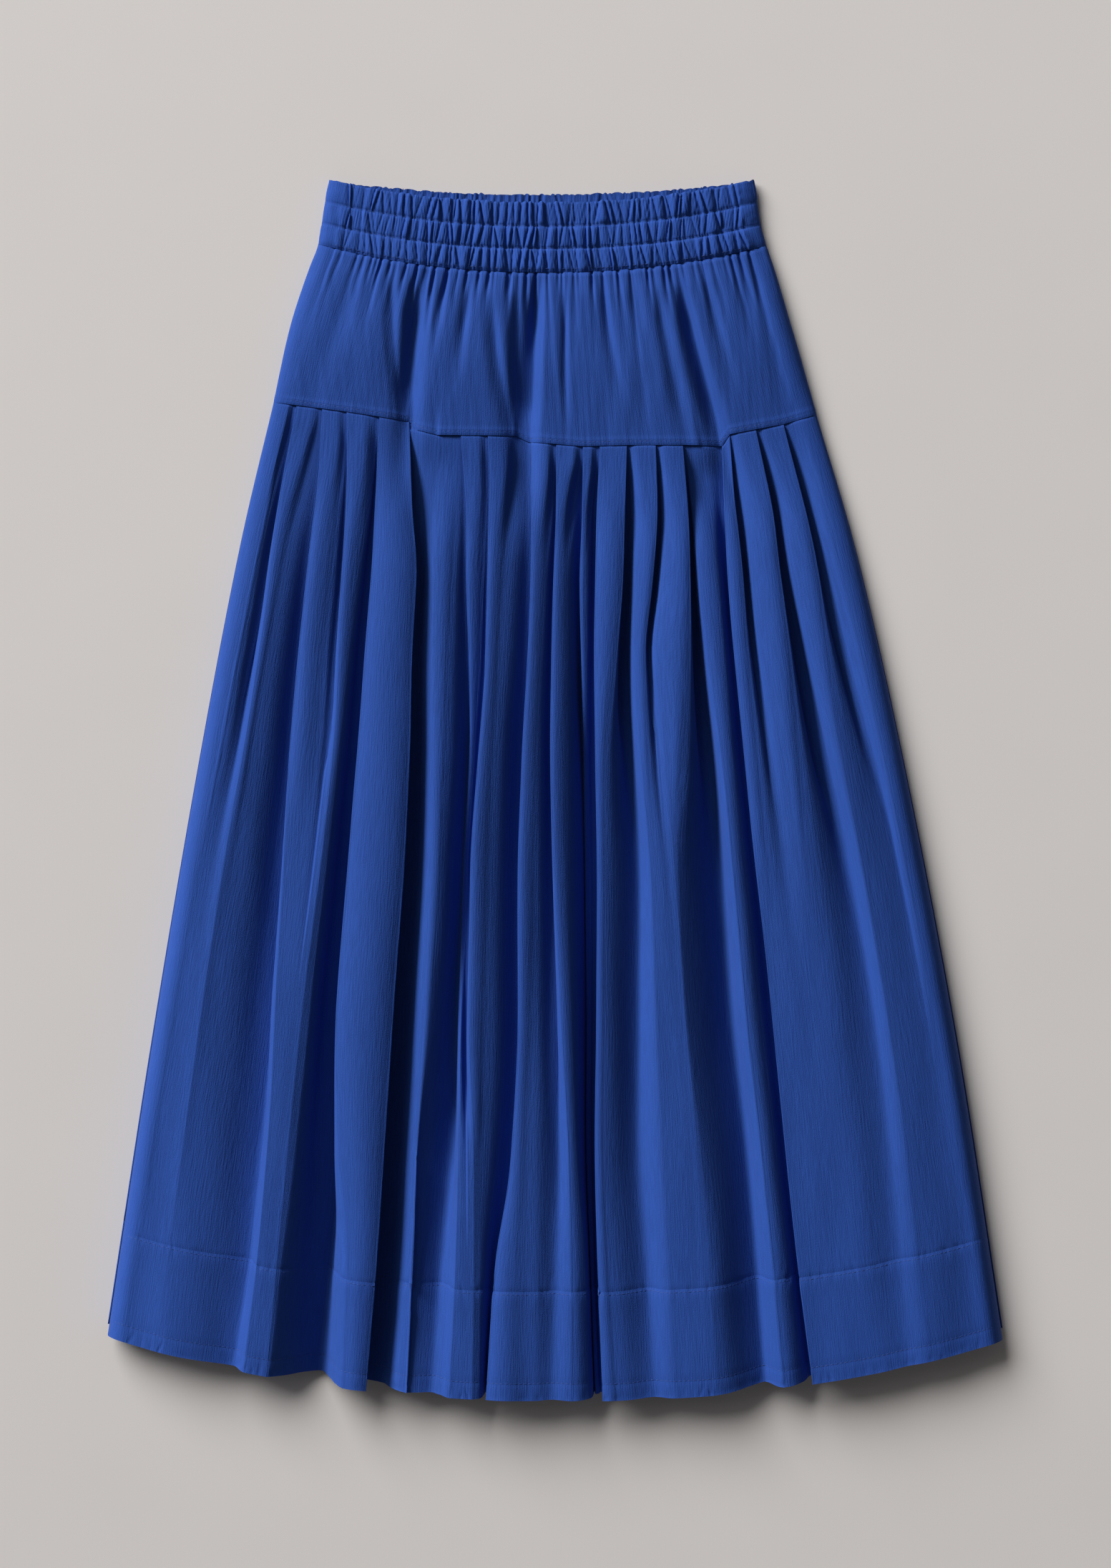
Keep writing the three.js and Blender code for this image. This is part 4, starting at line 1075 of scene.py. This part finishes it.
def dress(node, grid, stations, slot, **cut):
    """Puts a shell of cloth over its node and hides the node. The sheet that it was cut from, given in cut,
    is not used.
    """
    outward = 1 if node.endswith("front") else -1
    obj = cloth_object(node + "_cloth", grid, stations, SLOTS[slot], outward)
    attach(obj, "root")
    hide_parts(node)


dress("waistband_front", waist_grid, waist_stations, "waistband_cloth",
      flat=WAIST_CUT, held="gathered", rests_on=["waistband_back"])
dress("waistband_back", back_waist_grid, back_waist_stations, "waistband_cloth",
      flat=WAIST_CUT, held="gathered")
dress("yoke_front", yoke_grid, yoke_stations, "skirt_cloth",
      flat=YOKE_CUT, held="gathered", rests_on=["yoke_back"])
dress("yoke_back", back_yoke_grid, back_yoke_stations, "skirt_cloth", flat=YOKE_CUT, held="gathered")
dress("skirt_front", skirt_grid, skirt_stations, "skirt_cloth",
      flat=(0.89, 0.63), held="laid", rests_on=["skirt_back"])
dress("skirt_back", back_grid, back_stations, "skirt_cloth", flat=(0.94, 0.63), area=0.54, held="laid")
dress("hem_band_front", hem_grid, hem_stations, "skirt_cloth",
      flat=(0.88, 0.08), held="laid", rests_on=["hem_band_back"])
dress("hem_band_back", back_hem_grid, back_hem_stations, "skirt_cloth", flat=(0.94, 0.08), held="laid")


STITCHES = [
    ("waist_stitches_upper", waist_grid, waist_stations, down["stitch_1"]),
    ("waist_stitches_lower", waist_grid, waist_stations, down["stitch_2"]),
    ("waist_stitches_seam", waist_grid, waist_stations, waist_seam - WAIST_LINE),
    ("yoke_stitches", yoke_grid, yoke_stations, yoke_seam - NEAR_SEAM),
    ("hem_band_stitches", hem_grid, hem_stations, hem_band_top + NEAR_SEAM),
    ("hem_stitches", hem_grid, hem_stations, hem - HEM_LINE),
]
for name, grid, stations, line_at in STITCHES:
    stitches = stitch_run(name, grid, nearest_row(stations, line_at), thread)
    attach(stitches, "root")


# Stage
PHOTO = (1553, 2192)
MM_PER_PIXEL = 0.5272
MIDDLE_PIXEL = (776, 1102.5)
CAMERA_HEIGHT = 4.0
CREST_HEIGHT = 0.02
# Each light: its place, size and energy, and whether it lights all, only the cloth or only the floor.
LIGHTS = [
    ("key", (-9.3, 8.2, 5.5), 3.6, 3260, "cloth"),
    ("floor_key", (-7.4, 9.2, 8.9), 12, 3010, "floor"),
    ("fill", (-4.2, 3.0, 5.9), 5.5, 55, "all"),
]


def make_floor():
    corners = [(-3000, -3000, -0.2), (3000, -3000, -0.2), (3000, 3000, -0.2), (-3000, 3000, -0.2)]
    material = grained_material("floor", (0.635, 0.602, 0.583), 0.9, 9, 0.02)
    floor = new_object("floor", corners, [(0, 1, 2, 3)], material)
    return floor


def make_lights(floor):
    world = bpy.data.worlds.new("world")
    scene.world = world
    world.use_nodes = True
    sky = world.node_tree.nodes["Background"].inputs
    sky["Color"].default_value = (1, 0.985, 0.97, 1)
    sky["Strength"].default_value = 0.105
    lit = {name: bpy.data.collections.new(name) for name in ("cloth", "floor")}
    for obj in scene.objects:
        if obj.type == "MESH":
            lit["floor" if obj is floor else "cloth"].objects.link(obj)
    for name, place, size, energy, on in LIGHTS:
        light = bpy.data.lights.new(name, "AREA")
        light.shape = "DISK"
        light.size = size
        light.energy = energy
        lamp = bpy.data.objects.new(name, light)
        lamp.location = place
        lamp.rotation_euler = Vector(place).to_track_quat("Z", "Y").to_euler()
        scene.collection.objects.link(lamp)
        if on in lit:
            lamp.light_linking.receiver_collection = lit[on]


def make_camera():
    camera = bpy.data.cameras.new("camera")
    camera.sensor_fit = "VERTICAL"
    camera.sensor_height = 24
    view_height = PHOTO[1] * MM_PER_PIXEL * MM
    camera.lens = camera.sensor_height * (CAMERA_HEIGHT - CREST_HEIGHT) / view_height
    obj = bpy.data.objects.new("camera", camera)
    center_x = (PHOTO[0] / 2 - MIDDLE_PIXEL[0]) * MM_PER_PIXEL * MM
    center_y = (MIDDLE_PIXEL[1] - PHOTO[1] / 2) * MM_PER_PIXEL * MM
    obj.location = (center_x, center_y, CAMERA_HEIGHT)
    scene.collection.objects.link(obj)
    scene.camera = obj


scene.view_settings.view_transform = "Standard"
make_lights(make_floor())
make_camera()
